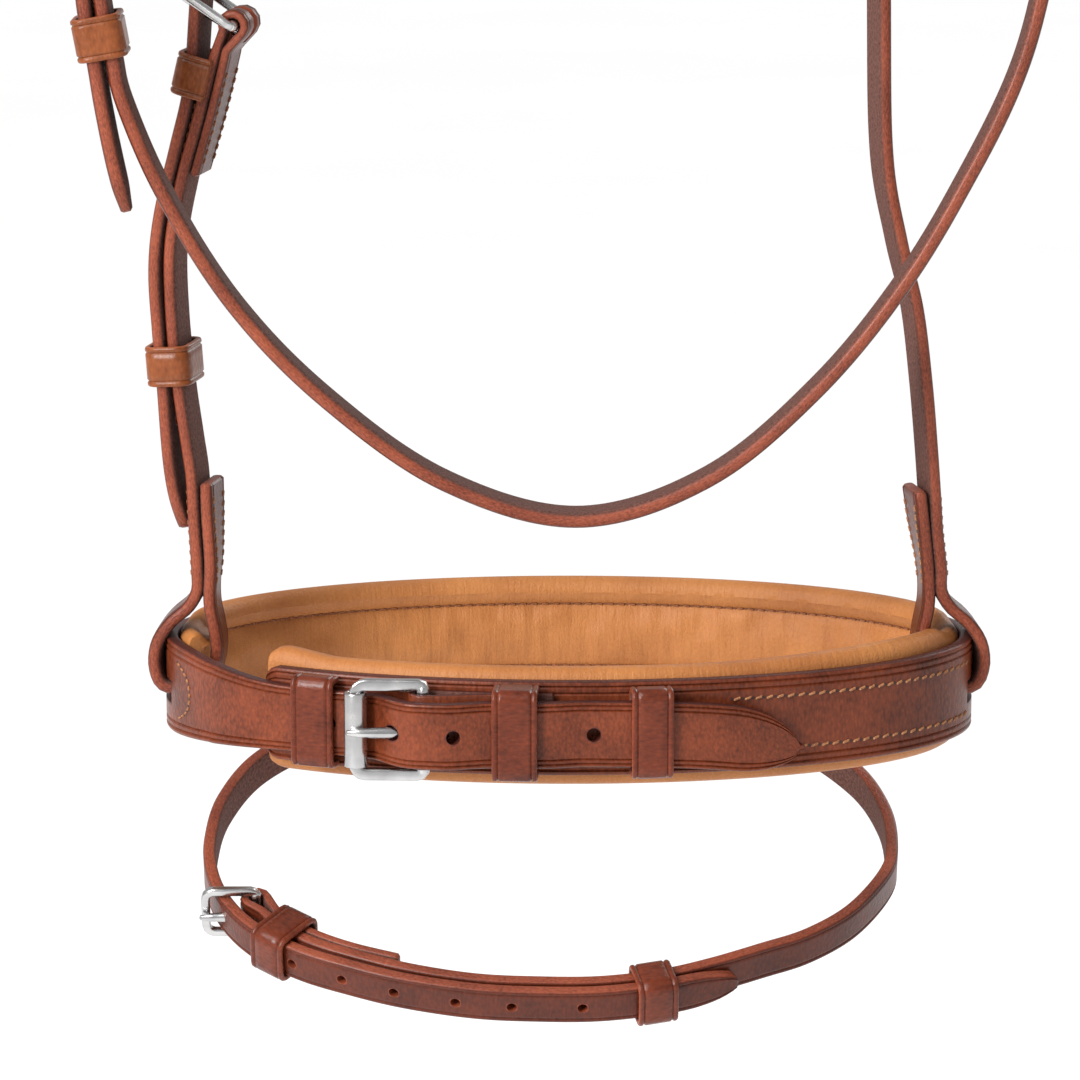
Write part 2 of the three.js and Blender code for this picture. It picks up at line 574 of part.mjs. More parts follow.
function nosebandStrap() {
  const places = [
    ...ringPlaces(BAND_START, PERIMETER - 84, 7), ...ringPlaces(PERIMETER - 78, ROLLER_PLACE - 4, 4),
    ...ringPlaces(ROLLER_PLACE - 1.5, PERIMETER - 16, 2), ...ringPlaces(PERIMETER - 12, TIP_PLACE - 16, 5),
    ...ringPlaces(TIP_PLACE - 13, TIP_PLACE, 1.85),
  ];
  const line = places.map((place) => ringPoint(place, bandLift(place) + BAND_THICK / 2));
  const full = ribbon(line, BAND_THICK, BAND_HEIGHT);
  const band = narrowBand(full, line, places, bandHeight, BAND_HEIGHT).translate(0, 0, RING.z);
  const room = noseBuckle.tongueRoom(TONGUE_LIFT).map((piece) => piece.applyMatrix4(noseBucklePlace));
  const holes = CHIN_HOLES.map((place) => strapHole(place, bandLift(place) + BAND_THICK / 2));
  return cut(band, ...slotCutter(), ...room, ...holes);
}

/** Where the cheek loops nip the padding: a shallow bed behind it, and a notch in its top edge. */
function loopBeds() {
  const [back, front] = [SLOT_Y - LOOP_BED / 2, SLOT_Y + LOOP_BED / 2];
  const behind = box(-LOOP_INSIDE, back, SLOT_Z - SLOT_HEIGHT / 2, LOOP_INSIDE, front, RING.z + PAD_HEIGHT);
  const notch = [-1, 1].map((side) => box(
    Math.min(80 * side, 120 * side), back, LOOP_NOTCH, Math.max(80 * side, 120 * side), front, RING.z + PAD_HEIGHT));
  return [behind, ...notch];
}

function nosebandPadding() {
  const places = ringPlaces(PAD_START, PAD_STOP, 7.2);
  const outer = places.map((place) => ringPoint(place, -GAP));
  const inner = places.map((place) => ringPoint(place, -GAP - PAD_THICK)).reverse();
  const roll = 2.6;
  const geometry = new THREE.ExtrudeGeometry(new THREE.Shape([...outer, ...inner]), {
    depth: PAD_HEIGHT - 2 * roll, steps: 1, bevelEnabled: true,
    bevelThickness: roll, bevelSize: roll, bevelOffset: -roll, bevelSegments: 2,
  });
  return cut(geometry.translate(0, 0, RING.z - PAD_HEIGHT / 2 + roll), ...slotCutter(), ...loopBeds());
}

const CHAPE_WIDTH = 19.5;
const NOSE_CHAPE_THICK = 1.6;

function buckleChape() {
  const under = ringPlaces(HINGE_PLACE + 1, PERIMETER - 4, 6).map((place) => ringPoint(place, 4.6)).reverse();
  const bend = arc(0, NOSE_HINGE_HEIGHT, 3, -90, -270, 10);
  const fold = bend.map((point) => ringPoint(HINGE_PLACE + point.x, point.y));
  const over = [[5, 9.7], [10, 7.9], [15, 6.6], [20, 6.5], [27, 6.5]].map(
    ([along, w]) => ringPoint(HINGE_PLACE + along, w),
  );
  const strap = ribbon([...under, ...fold, ...over], NOSE_CHAPE_THICK, CHAPE_WIDTH).translate(0, 0, RING.z);
  const slot = box(-6, -2, -8, 7, 2, 8).applyMatrix4(noseBucklePlace);
  return cut(strap, slot);
}

const NOSE_KEEPER = { halfWidth: 10.1, bottom: 3.8, length: 11.5 };
const FIRST_KEEPER = { ...NOSE_KEEPER, top: 7.7, closed: false };
const SECOND_KEEPER = { ...NOSE_KEEPER, top: 11.7, closed: false };
const RUNNING_KEEPER = { ...NOSE_KEEPER, top: 9.8, length: 10.6, closed: true, wall: 1.6 };

addLeather('noseband_strap', nosebandStrap());
add('noseband_padding', nosebandPadding(), PADDING_LEATHER, 0.6, 0);
addLeather('noseband_chape', buckleChape());
addKeeper('noseband_keeper_1', makeKeeper(FIRST_KEEPER).applyMatrix4(ringPlace(PERIMETER - 64, 0)));
addKeeper('noseband_keeper_2', makeKeeper(SECOND_KEEPER).applyMatrix4(ringPlace(PERIMETER - 13.3, 0)));
addKeeper('noseband_keeper_running', makeKeeper(RUNNING_KEEPER).applyMatrix4(ringPlace(PERIMETER + 19.8, 0)));
addSteel('noseband_buckle_frame', noseBuckle.frame.clone().applyMatrix4(noseBucklePlace));
addSteel('noseband_buckle_tongue', noseBuckle.tongue.clone().applyMatrix4(noseBucklePlace));
addSteel('noseband_buckle_roller', noseBuckle.roller.clone().applyMatrix4(noseBucklePlace));

// ---- flash strap ----
const FLASH_DOWN = v3(0, -Math.cos(rad(FLASH_SLOPE)), -Math.sin(rad(FLASH_SLOPE)));
const flashPlane = drawingPlane(v3(0, FLASH_ROOT.y, FLASH_ROOT.z), v3(1, 0, 0), FLASH_DOWN);
// The flash strap's outline in its own plane: x to the right, y from the nose towards the chin.
const FLASH_FAR = [
  [83.4, 83.4], [86, 72], [85, 55], [78, 36.5], [62, 18], [38, 5.5], [14, 0.4], [0, 0], [-14, 0.4], [-40, 4.5],
  [-66, 15.5], [-84, 31], [-93, 50], [-95.6, 68], [-94.6, 82], [-90.2, 95], [-82.2, 106.4], [-70, 115.8],
];
const FLASH_NEAR = [
  [-57, 122], [-42, 127.6], [-24, 131.6], [-8, 132.8], [8, 132.6], [24, 129.8], [36, 125.8], [43, 122.6],
];
const FLASH_HINGE = { x: -82.2, y: 94.6 };
const FLASH_FOLD_RADIUS = 3;
const FLASH_INNER = [
  [-80.6, 99.6], [-75, 106.4], [-66.4, 112.8], [-55, 118.2], [-41, 123.6], [-24, 127.6], [-8, 128.8], [8, 128.6],
  [23.4, 125.8], [36, 121.4], [50, 115], [62, 109], [74, 98.6],
];
const FLASH_CHAPE = [[-44, 119.2], [-56, 114.8], [-65.5, 109.8], [-72.6, 104.4], [-77.2, 98.6]];

function flashStrap() {
  const { x, y } = FLASH_HINGE;
  const chape = smooth(FLASH_CHAPE, 10);
  const fold = arc(x, y, FLASH_FOLD_RADIUS, -10, -220, 10);
  const line = [...chape, ...fold, ...smooth([...FLASH_INNER, ...FLASH_FAR, ...FLASH_NEAR], 150)];
  const layers = profile([[0.13, CHAPE_THICK], [0.17, FLASH_THICK]]);
  const strap = ribbon(line, layers, FLASH_WIDTH).applyMatrix4(flashPlane.matrix);
  const slot = new THREE.BoxGeometry(10.4, 10.4, 3.2).translate(x, y, 0).applyMatrix4(flashPlane.matrix);
  const room = flashBuckle.tongueRoom(TONGUE_LIFT).map((piece) => piece.applyMatrix4(flashBucklePlace));
  return cut(strap, slot, ...room);
}

const flashBuckle = makeBuckle(FLASH_BUCKLE);
const flashBucklePlace = placed(
  flashPlane.toWorld(v2(FLASH_HINGE.x, FLASH_HINGE.y)), flashPlane.direction(1, 0), flashPlane.direction(0, 1),
);

function flashKeeper(spec, x, y, alongX, alongY) {
  const along = flashPlane.direction(alongX, alongY);
  const outward = flashPlane.direction(-alongY, alongX);
  return makeKeeper(spec).applyMatrix4(placed(flashPlane.toWorld(v2(x, y)), along, outward));
}

const FLASH_KEEPER = { halfWidth: FLASH_WIDTH / 2 + GAP, length: 10.5, closed: true, wall: 1.5 };
const FLASH_FIXED_KEEPER = { ...FLASH_KEEPER, bottom: -9.2, top: 4.9 };
const FLASH_RUNNING_KEEPER = { ...FLASH_KEEPER, bottom: -6, top: 4.6 };

// The loop on the nose that carries the flash strap: a tab sewn to the noseband, and a sleeve hinged on its end.
const FLASH_TAB = { y: RING.y + 59.1, top: -479, thick: 2.2, width: 22, hingeZ: -504.6 };

function flashTab() {
  const { y, top, thick, width, hingeZ } = FLASH_TAB;
  const tab = box(-width / 2, y - thick / 2, hingeZ, width / 2, y + thick / 2, top);
  return cut(tab, new THREE.CylinderGeometry(thick / 2 + GAP, thick / 2 + GAP, width + 2, 20)
    .rotateZ(Math.PI / 2).translate(0, y, hingeZ));
}

/** The sleeve: drawn in a plane across the nose, x towards +Y and y up, and extruded sideways. */
function flashSleeve() {
  const { y, thick, width, hingeZ } = FLASH_TAB;
  const wall = 1.7;
  const [inU, inV] = [FLASH_THICK / 2 + 0.5, FLASH_WIDTH / 2 + 0.4];
  const shape = roundedRectangle(new THREE.Shape(), -inU - wall, -inV - wall, inU + wall, inV + wall, 1.6);
  shape.holes.push(roundedRectangle(new THREE.Path(), -inU, -inV, inU, inV, 0.5));
  const sleeve = slab(shape, width - 3).rotateZ(rad(FLASH_SLOPE)).translate(FLASH_ROOT.y, FLASH_ROOT.z, 0);
  const neck = ribbon(points([[y, hingeZ], [y + 0.6, hingeZ - 2], [y + 1.6, hingeZ - 3.4]]), thick, width - 3);
  const knuckle = new THREE.CylinderGeometry(thick / 2, thick / 2, width - 3, 20)
    .rotateX(Math.PI / 2).translate(y, hingeZ, 0);
  const sideways = new THREE.Matrix4().makeBasis(v3(0, 1, 0), v3(0, 0, 1), v3(1, 0, 0));
  return join(sleeve, neck, knuckle).applyMatrix4(sideways);
}

addLeather('flash_tab', flashTab());
addLeather('flash_sleeve', flashSleeve());
addLeather('flash_strap', flashStrap());
addKeeper('flash_keeper_fixed', flashKeeper(FLASH_FIXED_KEEPER, -75.2, 108.8, 0.79, 0.61));
addKeeper('flash_keeper_running', flashKeeper(FLASH_RUNNING_KEEPER, 21.5, 128.2, 10, -2.4));
addSteel('flash_buckle_frame', flashBuckle.frame.clone().applyMatrix4(flashBucklePlace));
addSteel('flash_buckle_tongue', flashBuckle.tongue.clone().applyMatrix4(flashBucklePlace));

export default bridle;
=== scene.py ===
import bisect
import json
import math

import bmesh
import bpy
from mathutils import Matrix, Vector, noise


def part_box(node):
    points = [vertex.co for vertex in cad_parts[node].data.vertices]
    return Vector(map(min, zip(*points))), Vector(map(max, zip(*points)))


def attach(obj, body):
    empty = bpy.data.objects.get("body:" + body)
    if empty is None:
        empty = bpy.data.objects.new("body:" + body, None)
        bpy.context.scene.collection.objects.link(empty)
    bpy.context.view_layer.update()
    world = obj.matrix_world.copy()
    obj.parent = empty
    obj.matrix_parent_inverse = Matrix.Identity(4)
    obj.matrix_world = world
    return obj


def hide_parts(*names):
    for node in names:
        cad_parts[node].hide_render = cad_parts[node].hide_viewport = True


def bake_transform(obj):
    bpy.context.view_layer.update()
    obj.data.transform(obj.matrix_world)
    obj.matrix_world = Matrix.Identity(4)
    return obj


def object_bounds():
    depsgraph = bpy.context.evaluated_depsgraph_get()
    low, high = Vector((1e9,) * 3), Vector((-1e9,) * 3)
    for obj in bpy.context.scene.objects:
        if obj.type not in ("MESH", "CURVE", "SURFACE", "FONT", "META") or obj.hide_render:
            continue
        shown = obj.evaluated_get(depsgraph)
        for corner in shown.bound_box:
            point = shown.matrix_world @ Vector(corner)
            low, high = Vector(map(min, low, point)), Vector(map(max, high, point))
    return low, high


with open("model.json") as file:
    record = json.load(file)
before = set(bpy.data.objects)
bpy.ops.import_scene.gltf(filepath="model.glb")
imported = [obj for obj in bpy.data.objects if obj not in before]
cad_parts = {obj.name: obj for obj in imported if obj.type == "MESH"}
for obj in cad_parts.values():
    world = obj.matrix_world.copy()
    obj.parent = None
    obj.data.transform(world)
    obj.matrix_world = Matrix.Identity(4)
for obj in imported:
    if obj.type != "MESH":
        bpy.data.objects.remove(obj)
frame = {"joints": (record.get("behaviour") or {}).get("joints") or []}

cad_low, cad_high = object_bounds()

MM = 0.001
GAP = 0.3                   # play that the CAD keeps between pieces that touch


def in_mm(vector):
    return Vector(vector) / MM


def in_metres(vector):
    return Vector(vector) * MM


joints = {joint["name"]: joint for joint in frame["joints"]}


def joint_place(name):
    return in_mm(joints[name]["pos_m"])


# ---- places read from the frame ----
SWING = joint_place("cheek_swing")
CHEEK_Y = SWING.y
THROAT_Y = joint_place("throat_swing").y
SLOT = joint_place("noseband_tilt")
PAD_LOW, PAD_HIGH = [in_mm(corner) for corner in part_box("noseband_padding")]
RING = (PAD_LOW + PAD_HIGH) / 2
RING_A = (PAD_HIGH.x - PAD_LOW.x) / 2 + GAP
RING_B = (PAD_HIGH.y - PAD_LOW.y) / 2 + GAP
PAD_HEIGHT = PAD_HIGH.z - PAD_LOW.z
LEAN = math.atan((SLOT.y - CHEEK_Y) / (SWING.z - SLOT.z))
BROWBAND_LOW, BROWBAND_HIGH = [in_mm(corner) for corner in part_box("browband")]
BROWBAND_Z = (BROWBAND_LOW.z + BROWBAND_HIGH.z) / 2

# ---- driving sizes, as in the CAD ----
HEADPIECE_WIDTH = 38
HEADPIECE_THICK = 3.5
BROWBAND_WIDTH = 16
CHEEK_WIDTH = 13
CHEEK_THICK = 3.3
CHAPE_THICK = 2.4
THROAT_THICK = 3.8
BAND_THICK = 3.5
BAND_HEIGHT = 24.5
CHIN_HEIGHT = 17
PAD_THICK = 7.7
FLASH_WIDTH = 10
FLASH_THICK = 3.3
FLASH_SLOPE = math.radians(22)
HOLE_RADIUS = 1.8


# ---- lines ----
def spline(knots, step):
    """A smooth line through flat knots, cut into nearly equal steps."""
    knots = [Vector(knot) for knot in knots]
    last = len(knots) - 1
    fine = []
    for i in range(last):
        before, here, there, after = knots[max(i - 1, 0)], knots[i], knots[i + 1], knots[min(i + 2, last)]
        leave, arrive = (there - before) / 2, (after - here) / 2
        for k in range(24):
            t = k / 24
            fine.append(here * (2 * t**3 - 3 * t**2 + 1) + leave * (t**3 - 2 * t**2 + t)
                        + there * (3 * t**2 - 2 * t**3) + arrive * (t**3 - t**2))
    fine.append(knots[last])
    return evenly(fine, step)


def evenly(line, step):
    """The same line cut into nearly equal steps."""
    lengths = running_lengths(line)
    count = max(1, round(lengths[-1] / step))
    result = []
    i = 0
    for k in range(count + 1):
        wanted = lengths[-1] * k / count
        while i < len(line) - 2 and lengths[i + 1] < wanted:
            i += 1
        span = lengths[i + 1] - lengths[i]
        result.append(line[i].lerp(line[i + 1], (wanted - lengths[i]) / span if span else 0))
    return result


def running_lengths(line):
    lengths = [0.0]
    for a, b in zip(line, line[1:]):
        lengths.append(lengths[-1] + (b - a).length)
    return lengths


def arc(cx, cy, radius, start, stop, steps):
    """Points on an arc, in degrees."""
    angles = [math.radians(start + (stop - start) * i / steps) for i in range(steps + 1)]
    return [Vector((cx + radius * math.cos(a), cy + radius * math.sin(a))) for a in angles]


def mirrored(knots):
    return [Vector((-x, y)) for x, y in knots]


def profile(knots):
    """A function that runs smoothly through (place, value) knots and is level beyond them."""
    def value(place):
        if place <= knots[0][0]:
            return knots[0][1]
        for (x0, y0), (x1, y1) in zip(knots, knots[1:]):
            if place <= x1:
                t = (place - x0) / (x1 - x0)
                return y0 + (y1 - y0) * t * t * (3 - 2 * t)
        return knots[-1][1]
    return value


def constant(value):
    return value if callable(value) else lambda place: value


# ---- straps ----
class Strap:
    """A band swept along a flat line. Its measures: s along it, v across it, out towards its grain side."""

    def __init__(self, line, width, thickness, lay, grain=1, warp=None, closed=False, shift=0):
        self.line = [Vector(point) for point in line]
        self.closed = closed
        if closed:
            self.line.append(self.line[0].copy())
        self.lengths = running_lengths(self.line)
        self.length = self.lengths[-1]
        self.width = constant(width)
        self.thickness = constant(thickness)
        self.lay = lay
        self.grain = grain
        self.warp = warp
        self.shift = constant(shift)
        self.tangents = [self._tangent(i) for i in range(len(self.line))]
        self._last = 0

    def _tangent(self, i):
        last = len(self.line) - 1
        if self.closed and i in (0, last):
            return (self.line[1] - self.line[last - 1]).normalized()
        return (self.line[min(i + 1, last)] - self.line[max(i - 1, 0)]).normalized()

    def point(self, s, v, out):
        s = min(max(s, 0), self.length)
        i = self._last if self.lengths[self._last] <= s else 0
        while i < len(self.lengths) - 2 and self.lengths[i + 1] < s:
            i += 1
        self._last = i
        t = (s - self.lengths[i]) / (self.lengths[i + 1] - self.lengths[i])
        tangent = self.tangents[i].lerp(self.tangents[i + 1], t).normalized()
        normal = Vector((-tangent.y, tangent.x)) * self.grain
        flat = self.line[i].lerp(self.line[i + 1], t) + normal * out
        place = self.lay(flat.x, flat.y, v + self.shift(s))
        return self.warp(place) if self.warp else place

    def axes(self, s, v, out):
        """Directions along, across and outwards there."""
        here = self.point(s, v, out)
        along = self.point(s + 0.2, v, out) - self.point(s - 0.2, v, out)
        across = self.point(s, v + 0.5, out) - here
        return along.normalized(), across.normalized(), (self.point(s, v, out + 0.5) - here).normalized()


def outline(half_width, half_thick, rounding, creases=(), depth=0.3, face_steps=6):
    """A strap's section as (v, out, side) points: side is 1 on the grain face and -1 on the flesh face."""
    r = min(rounding, half_width * 0.98, half_thick * 0.98)
    flat = half_width - r
    stops = {flat * (2 * k / face_steps - 1): 0.0 for k in range(face_steps + 1)}
    for crease in creases:
        for sign in (-1, 1):
            centre = sign * (half_width - crease)
            for place in [place for place in stops if abs(place - centre) < 0.7 and abs(place) < flat]:
                del stops[place]
            stops.update({centre - 0.45: 0.0, centre: depth, centre + 0.45: 0.0})
    grain = [(v, half_thick - stops[v], 1.0) for v in sorted(stops) if abs(v) <= flat + 1e-6]
    flesh = [(flat * (1 - 2 * k / 4), -half_thick, -1.0) for k in range(5)]
    steep, shallow = math.radians(60), math.radians(30)

    def corner(v_sign, out_sign, angles):
        return [(v_sign * (flat + r * math.cos(angle)), out_sign * (half_thick - r + r * math.sin(angle)),
                 0.55 * out_sign if angle == steep else 0.0) for angle in angles]

    def edge(v_sign, first):
        return [(v_sign * half_width, out * (half_thick - r), 0.0) for out in (first, -first)]
    return (grain + corner(1, 1, (steep, shallow)) + edge(1, 1) + corner(1, -1, (shallow, steep)) + flesh
            + corner(-1, -1, (steep, shallow)) + edge(-1, -1) + corner(-1, 1, (shallow, steep)))


def sweep(strap, step=2.0, rounding=0.9, creases=(), depth=0.3, face_steps=6, round_ends=0.7, wobble=0.08):
    """Vertices, faces, UVs and sides of a strap as one closed body."""
    count = max(3, round(strap.length / step))
    places = [strap.length * k / count for k in range(count + 1)]
    if strap.closed:
        places = places[:-1]
    else:
        near = min(round_ends, strap.length / (3 * count))
        places = [0.0, near] + places[1:-1] + [strap.length - near, strap.length]
    full_width = max(strap.width(s) for s in places) / 2
    full_thick = max(strap.thickness(s) for s in places) / 2
    section = outline(full_width, full_thick, rounding, creases, depth, face_steps)
    vertices, sides = [], []
    for ring, s in enumerate(places):
        end = not strap.closed and ring in (0, len(places) - 1)
        half_width, half_thick = strap.width(s) / 2, strap.thickness(s) / 2
        if end:
            half_width, half_thick = half_width - round_ends * 0.7, half_thick - round_ends * 0.7
        for v, out, side in section:
            shift = wobble * noise.noise(Vector((s * 0.05, v * 0.08, full_width)))
            here = strap.point(s, v * half_width / full_width, out * half_thick / full_thick + shift)
            vertices.append(here)
            sides.append(0.0 if end else side)
    faces, uvs = skin(places, girth(section), section, section, strap.length if strap.closed else 0)
    return vertices, faces, uvs, sides


def girth(section):
    """Running lengths all the way round a section."""
    return running_lengths([Vector(point[:2]) for point in section + section[:1]])


def skin(places, around, first, last, closed_at=0):
    """Faces and UVs over rings of points. An open body is capped with its first and last sections."""
    size, rings = len(first), len(places)
    faces, uvs = [], []
    for i in range(rings if closed_at else rings - 1):
        here, ahead = i * size, (i + 1) % rings * size
        start, stop = places[i], places[i + 1] if i + 1 < rings else closed_at
        for j in range(size):
            following = (j + 1) % size
            faces.append((here + j, here + following, ahead + following, ahead + j))
            low, high = around[j], around[j + 1]
            uvs.append([(start, low), (start, high), (stop, high), (stop, low)])
    if not closed_at:
        for ring, section, order in ((0, first, -1), (rings - 1, last, 1)):
            faces.append(tuple(range(ring * size, (ring + 1) * size))[::order])
            uvs.append([point[:2] for point in section][::order])
    return faces, uvs


def joined(bodies):
    """Several (vertices, faces, uvs, sides) as one."""
    vertices, faces, uvs, sides = [], [], [], []
    for more_vertices, more_faces, more_uvs, more_sides in bodies:
        start = len(vertices)
        vertices += more_vertices
        faces += [tuple(k + start for k in face) for face in more_faces]
        uvs += more_uvs
        sides += more_sides
    return vertices, faces, uvs, sides


def folded(chape, fold, rest, thickness):
    """A line from a chape's end round a buckle's bar and on, how thick it is, and where its fold ends."""
    fold_end = running_lengths(chape + fold)[-1]
    return chape + fold + rest, profile([(fold_end, CHAPE_THICK), (fold_end + 14, thickness)]), fold_end


def place_object(name, data):
    holder = bpy.data.objects.new(name, data)
    bpy.context.scene.collection.objects.link(holder)
    return holder


def make_piece(name, body, material):
    """A Blender object from vertices, faces, UVs and sides."""
    vertices, faces, uvs, sides = body
    mesh = bpy.data.meshes.new(name)
    mesh.from_pydata([vertex * MM for vertex in vertices], [], faces)
    layer = mesh.uv_layers.new(name="UVMap")
    flat = [value * MM for face in uvs for pair in face for value in pair]
    layer.data.foreach_set("uv", flat)
    side = mesh.attributes.new("side", "FLOAT", "POINT")
    side.data.foreach_set("value", sides)
    outward(mesh)
    mesh.materials.append(material)
    soften(mesh)
    return place_object(name, mesh)


def outward(mesh):
    """Turns every closed body in the mesh so that its faces look outwards."""
    work = bmesh.new()
    work.from_mesh(mesh)
    bmesh.ops.recalc_face_normals(work, faces=work.faces)
    work.to_mesh(mesh)
    work.free()


def soften(mesh, degrees=42):
    mesh.shade_smooth()
    mesh.set_sharp_from_angle(angle=math.radians(degrees))


def carve(piece, cutters):
    """Cuts the cutters' bodies out of a piece."""
    for cutter in cutters:
        change = piece.modifiers.new("carve", "BOOLEAN")
        change.operation = "DIFFERENCE"
        change.solver = "EXACT"
        change.object = cutter
    graph = bpy.context.evaluated_depsgraph_get()
    mesh = bpy.data.meshes.new_from_object(piece.evaluated_get(graph))
    piece.modifiers.clear()
    piece.data = mesh
    for cutter in cutters:
        bpy.data.objects.remove(cutter)
    soften(mesh)


def drum(place, axis, radius, length, sides=20):
    """A round cutter about an axis."""
    turn = Vector(axis).to_track_quat("Z", "Y").to_matrix()
    half = turn.col[2] * length / 2
    spine = [(Vector(place) - half, radius), (Vector(place) + half, radius)]
    return cutter_from(*tube(spine, turn.col[0], turn.col[1], sides)[:2])


def punch(strap, s, radius, depth, sides=20):
    """A cutter for a hole through the middle of a strap."""
    return drum(strap.point(s, 0, 0), strap.axes(s, 0, 0)[2], radius, depth, sides)


def block(matrix, x0, y0, z0, x1, y1, z1):
    """A box-shaped cutter in a local frame."""
    corners = [matrix @ Vector((x, y, z)) for x in (x0, x1) for y in (y0, y1) for z in (z0, z1)]
    faces = [(0, 1, 3, 2), (4, 6, 7, 5), (0, 4, 5, 1), (2, 3, 7, 6), (0, 2, 6, 4), (1, 5, 7, 3)]
    return cutter_from(corners, faces)


def cutter_from(vertices, faces):
    mesh = bpy.data.meshes.new("cutter")
    mesh.from_pydata([vertex * MM for vertex in vertices], [], faces)
    outward(mesh)
    return place_object("cutter", mesh)


# A stitch's spine as (part of its half length, rise in radii, part of its radius).
STITCH = ((-1.0, -0.8, 0.5), (-0.6, 0.192, 1.0), (0.6, 0.192, 1.0), (1.0, -0.8, 0.5))


def thread(strap, rows, pitch=3.0, radius=0.32, slant=0.35, lift=0.0):
    """Stitches on a strap's face, and a dark disc at each stitch hole as painted shade for the hole. Each row
    is a line of (s, v) points.
    """
    stitches, holes = [], []
    for row in rows:
        path = evenly([Vector(point) for point in row], pitch)
        for a, b in zip(path, path[1:]):
            middle, half = (a + b) / 2, (b - a) * 0.37
            skew = Vector((-half.y, half.x)).normalized() * slant
            spine = []
            for part, rise, thick in STITCH:
                s, v = middle + (half + skew) * part
                out = strap.thickness(s) / 2 + lift + rise * radius
                spine.append((strap.point(s, v, out), radius * thick))
            along, across, out_way = strap.axes(middle.x, middle.y, 0)
            stitches.append(tube(spine, (across * half.x - along * half.y).normalized(), out_way, 6))
            # painted shade: a short dark disc just proud of the face stands in for the shade inside the
            # stitch hole
            s, v = a
            face = strap.thickness(s) / 2 + lift
            hole_shade_disc = [(strap.point(s, v, face + depth), radius * 1.25) for depth in (-0.3, 0.035)]
            holes.append(tube(hole_shade_disc, along, across, 8))
    return joined(stitches), joined(holes)


def sew(name, strap, rows, material, slot, body, hole_shade=None, **how):
    """Makes a strap's stitches, and the dark discs of painted shade at their holes, as two pieces."""
    stitches, holes = thread(strap, rows, **how)
    add(name, stitches, material, [], body)
    # the hole pieces are painted shade, not real recesses
    add(f"{name}_holes", holes, hole_shade or PRICKED_HOLE_SHADE, [], body)


def tube(spine, side_way, out_way, sides):
    """A short round body through (place, radius) pairs."""
    vertices = []
    for place, radius in spine:
        for k in range(sides):
            angle = 2 * math.pi * k / sides
            vertices.append(place + side_way * radius * math.cos(angle) + out_way * radius * math.sin(angle))
    faces = []
    for i in range(len(spine) - 1):
        for k in range(sides):
            a, b = i * sides + k, i * sides + (k + 1) % sides
            faces.append((a, b, b + sides, a + sides))
    faces += [tuple(range(sides))[::-1], tuple(range((len(spine) - 1) * sides, len(spine) * sides))]
    uvs = [[(0.4 * k, 0.3 * k) for k in range(len(face))] for face in faces]
    return vertices, faces, uvs, [1.0] * len(vertices)


# ---- materials ----
def linear(red, green, blue):
    """A colour given as 0 to 255 on a screen, as the shader wants it."""
    def one(value):
        value /= 255
        return value / 12.92 if value <= 0.04045 else ((value + 0.055) / 1.055) ** 2.4
    return (one(red), one(green), one(blue), 1.0)


class Shader:
    """Builds one node material; a socket given to an input is linked, anything else is set."""

    def __init__(self, name):
        self.material = bpy.data.materials.new(name)
        self.material.use_nodes = True
        self.tree = self.material.node_tree
        self.surface = self.tree.nodes["Principled BSDF"]
        coordinates = self.tree.nodes.new("ShaderNodeTexCoord")
        self.uv, self.place = coordinates.outputs["UV"], coordinates.outputs["Object"]

    def set(self, node, name, value):
        if isinstance(value, bpy.types.NodeSocket):
            self.tree.links.new(value, node.inputs[name])
        else:
            node.inputs[name].default_value = value

    def node(self, kind, inputs, output=0, **settings):
        node = self.tree.nodes.new(kind)
        for key, value in settings.items():
            setattr(node, key, value)
        for name, value in inputs.items():
            self.set(node, name, value)
        return node.outputs[output]

    def weighted(self, *parts, plus=0.0):
        """The sum of (value, weight) pairs and a number."""
        total = plus
        for value, weight in parts:
            total = self.node("ShaderNodeMath", {0: value, 1: weight, 2: total}, operation="MULTIPLY_ADD")
        return total

    def mix(self, factor, a, b):
        return self.node("ShaderNodeMix", {0: factor, 6: a, 7: b}, 2, data_type="RGBA")

    def ramp(self, value, stops):
        node = self.tree.nodes.new("ShaderNodeValToRGB")
        elements = node.color_ramp.elements
        for i, (place, colour) in enumerate(stops):
            element = elements[i] if i < 2 else elements.new(place)
            element.position = place
            element.color = linear(*colour) if isinstance(colour, tuple) else (colour, colour, colour, 1.0)
        self.set(node, 0, value)
        return node.outputs[0]

    def noise(self, vector, scale, detail=4.0, rough=0.55):
        return self.node("ShaderNodeTexNoise", {"Vector": vector, "Scale": scale, "Detail": detail,
                                                "Roughness": rough})

    def stretched(self, vector, x, y, z=1.0):
        return self.node("ShaderNodeMapping", {"Vector": vector, "Scale": (x, y, z)})

    def bump(self, height, strength, distance):
        inputs = {"Height": height, "Strength": strength, "Distance": distance * MM}
        return self.node("ShaderNodeBump", inputs)

    def finish(self, **inputs):
        for name, value in inputs.items():
            self.set(self.surface, name.replace("_", " "), value)
        return self.material


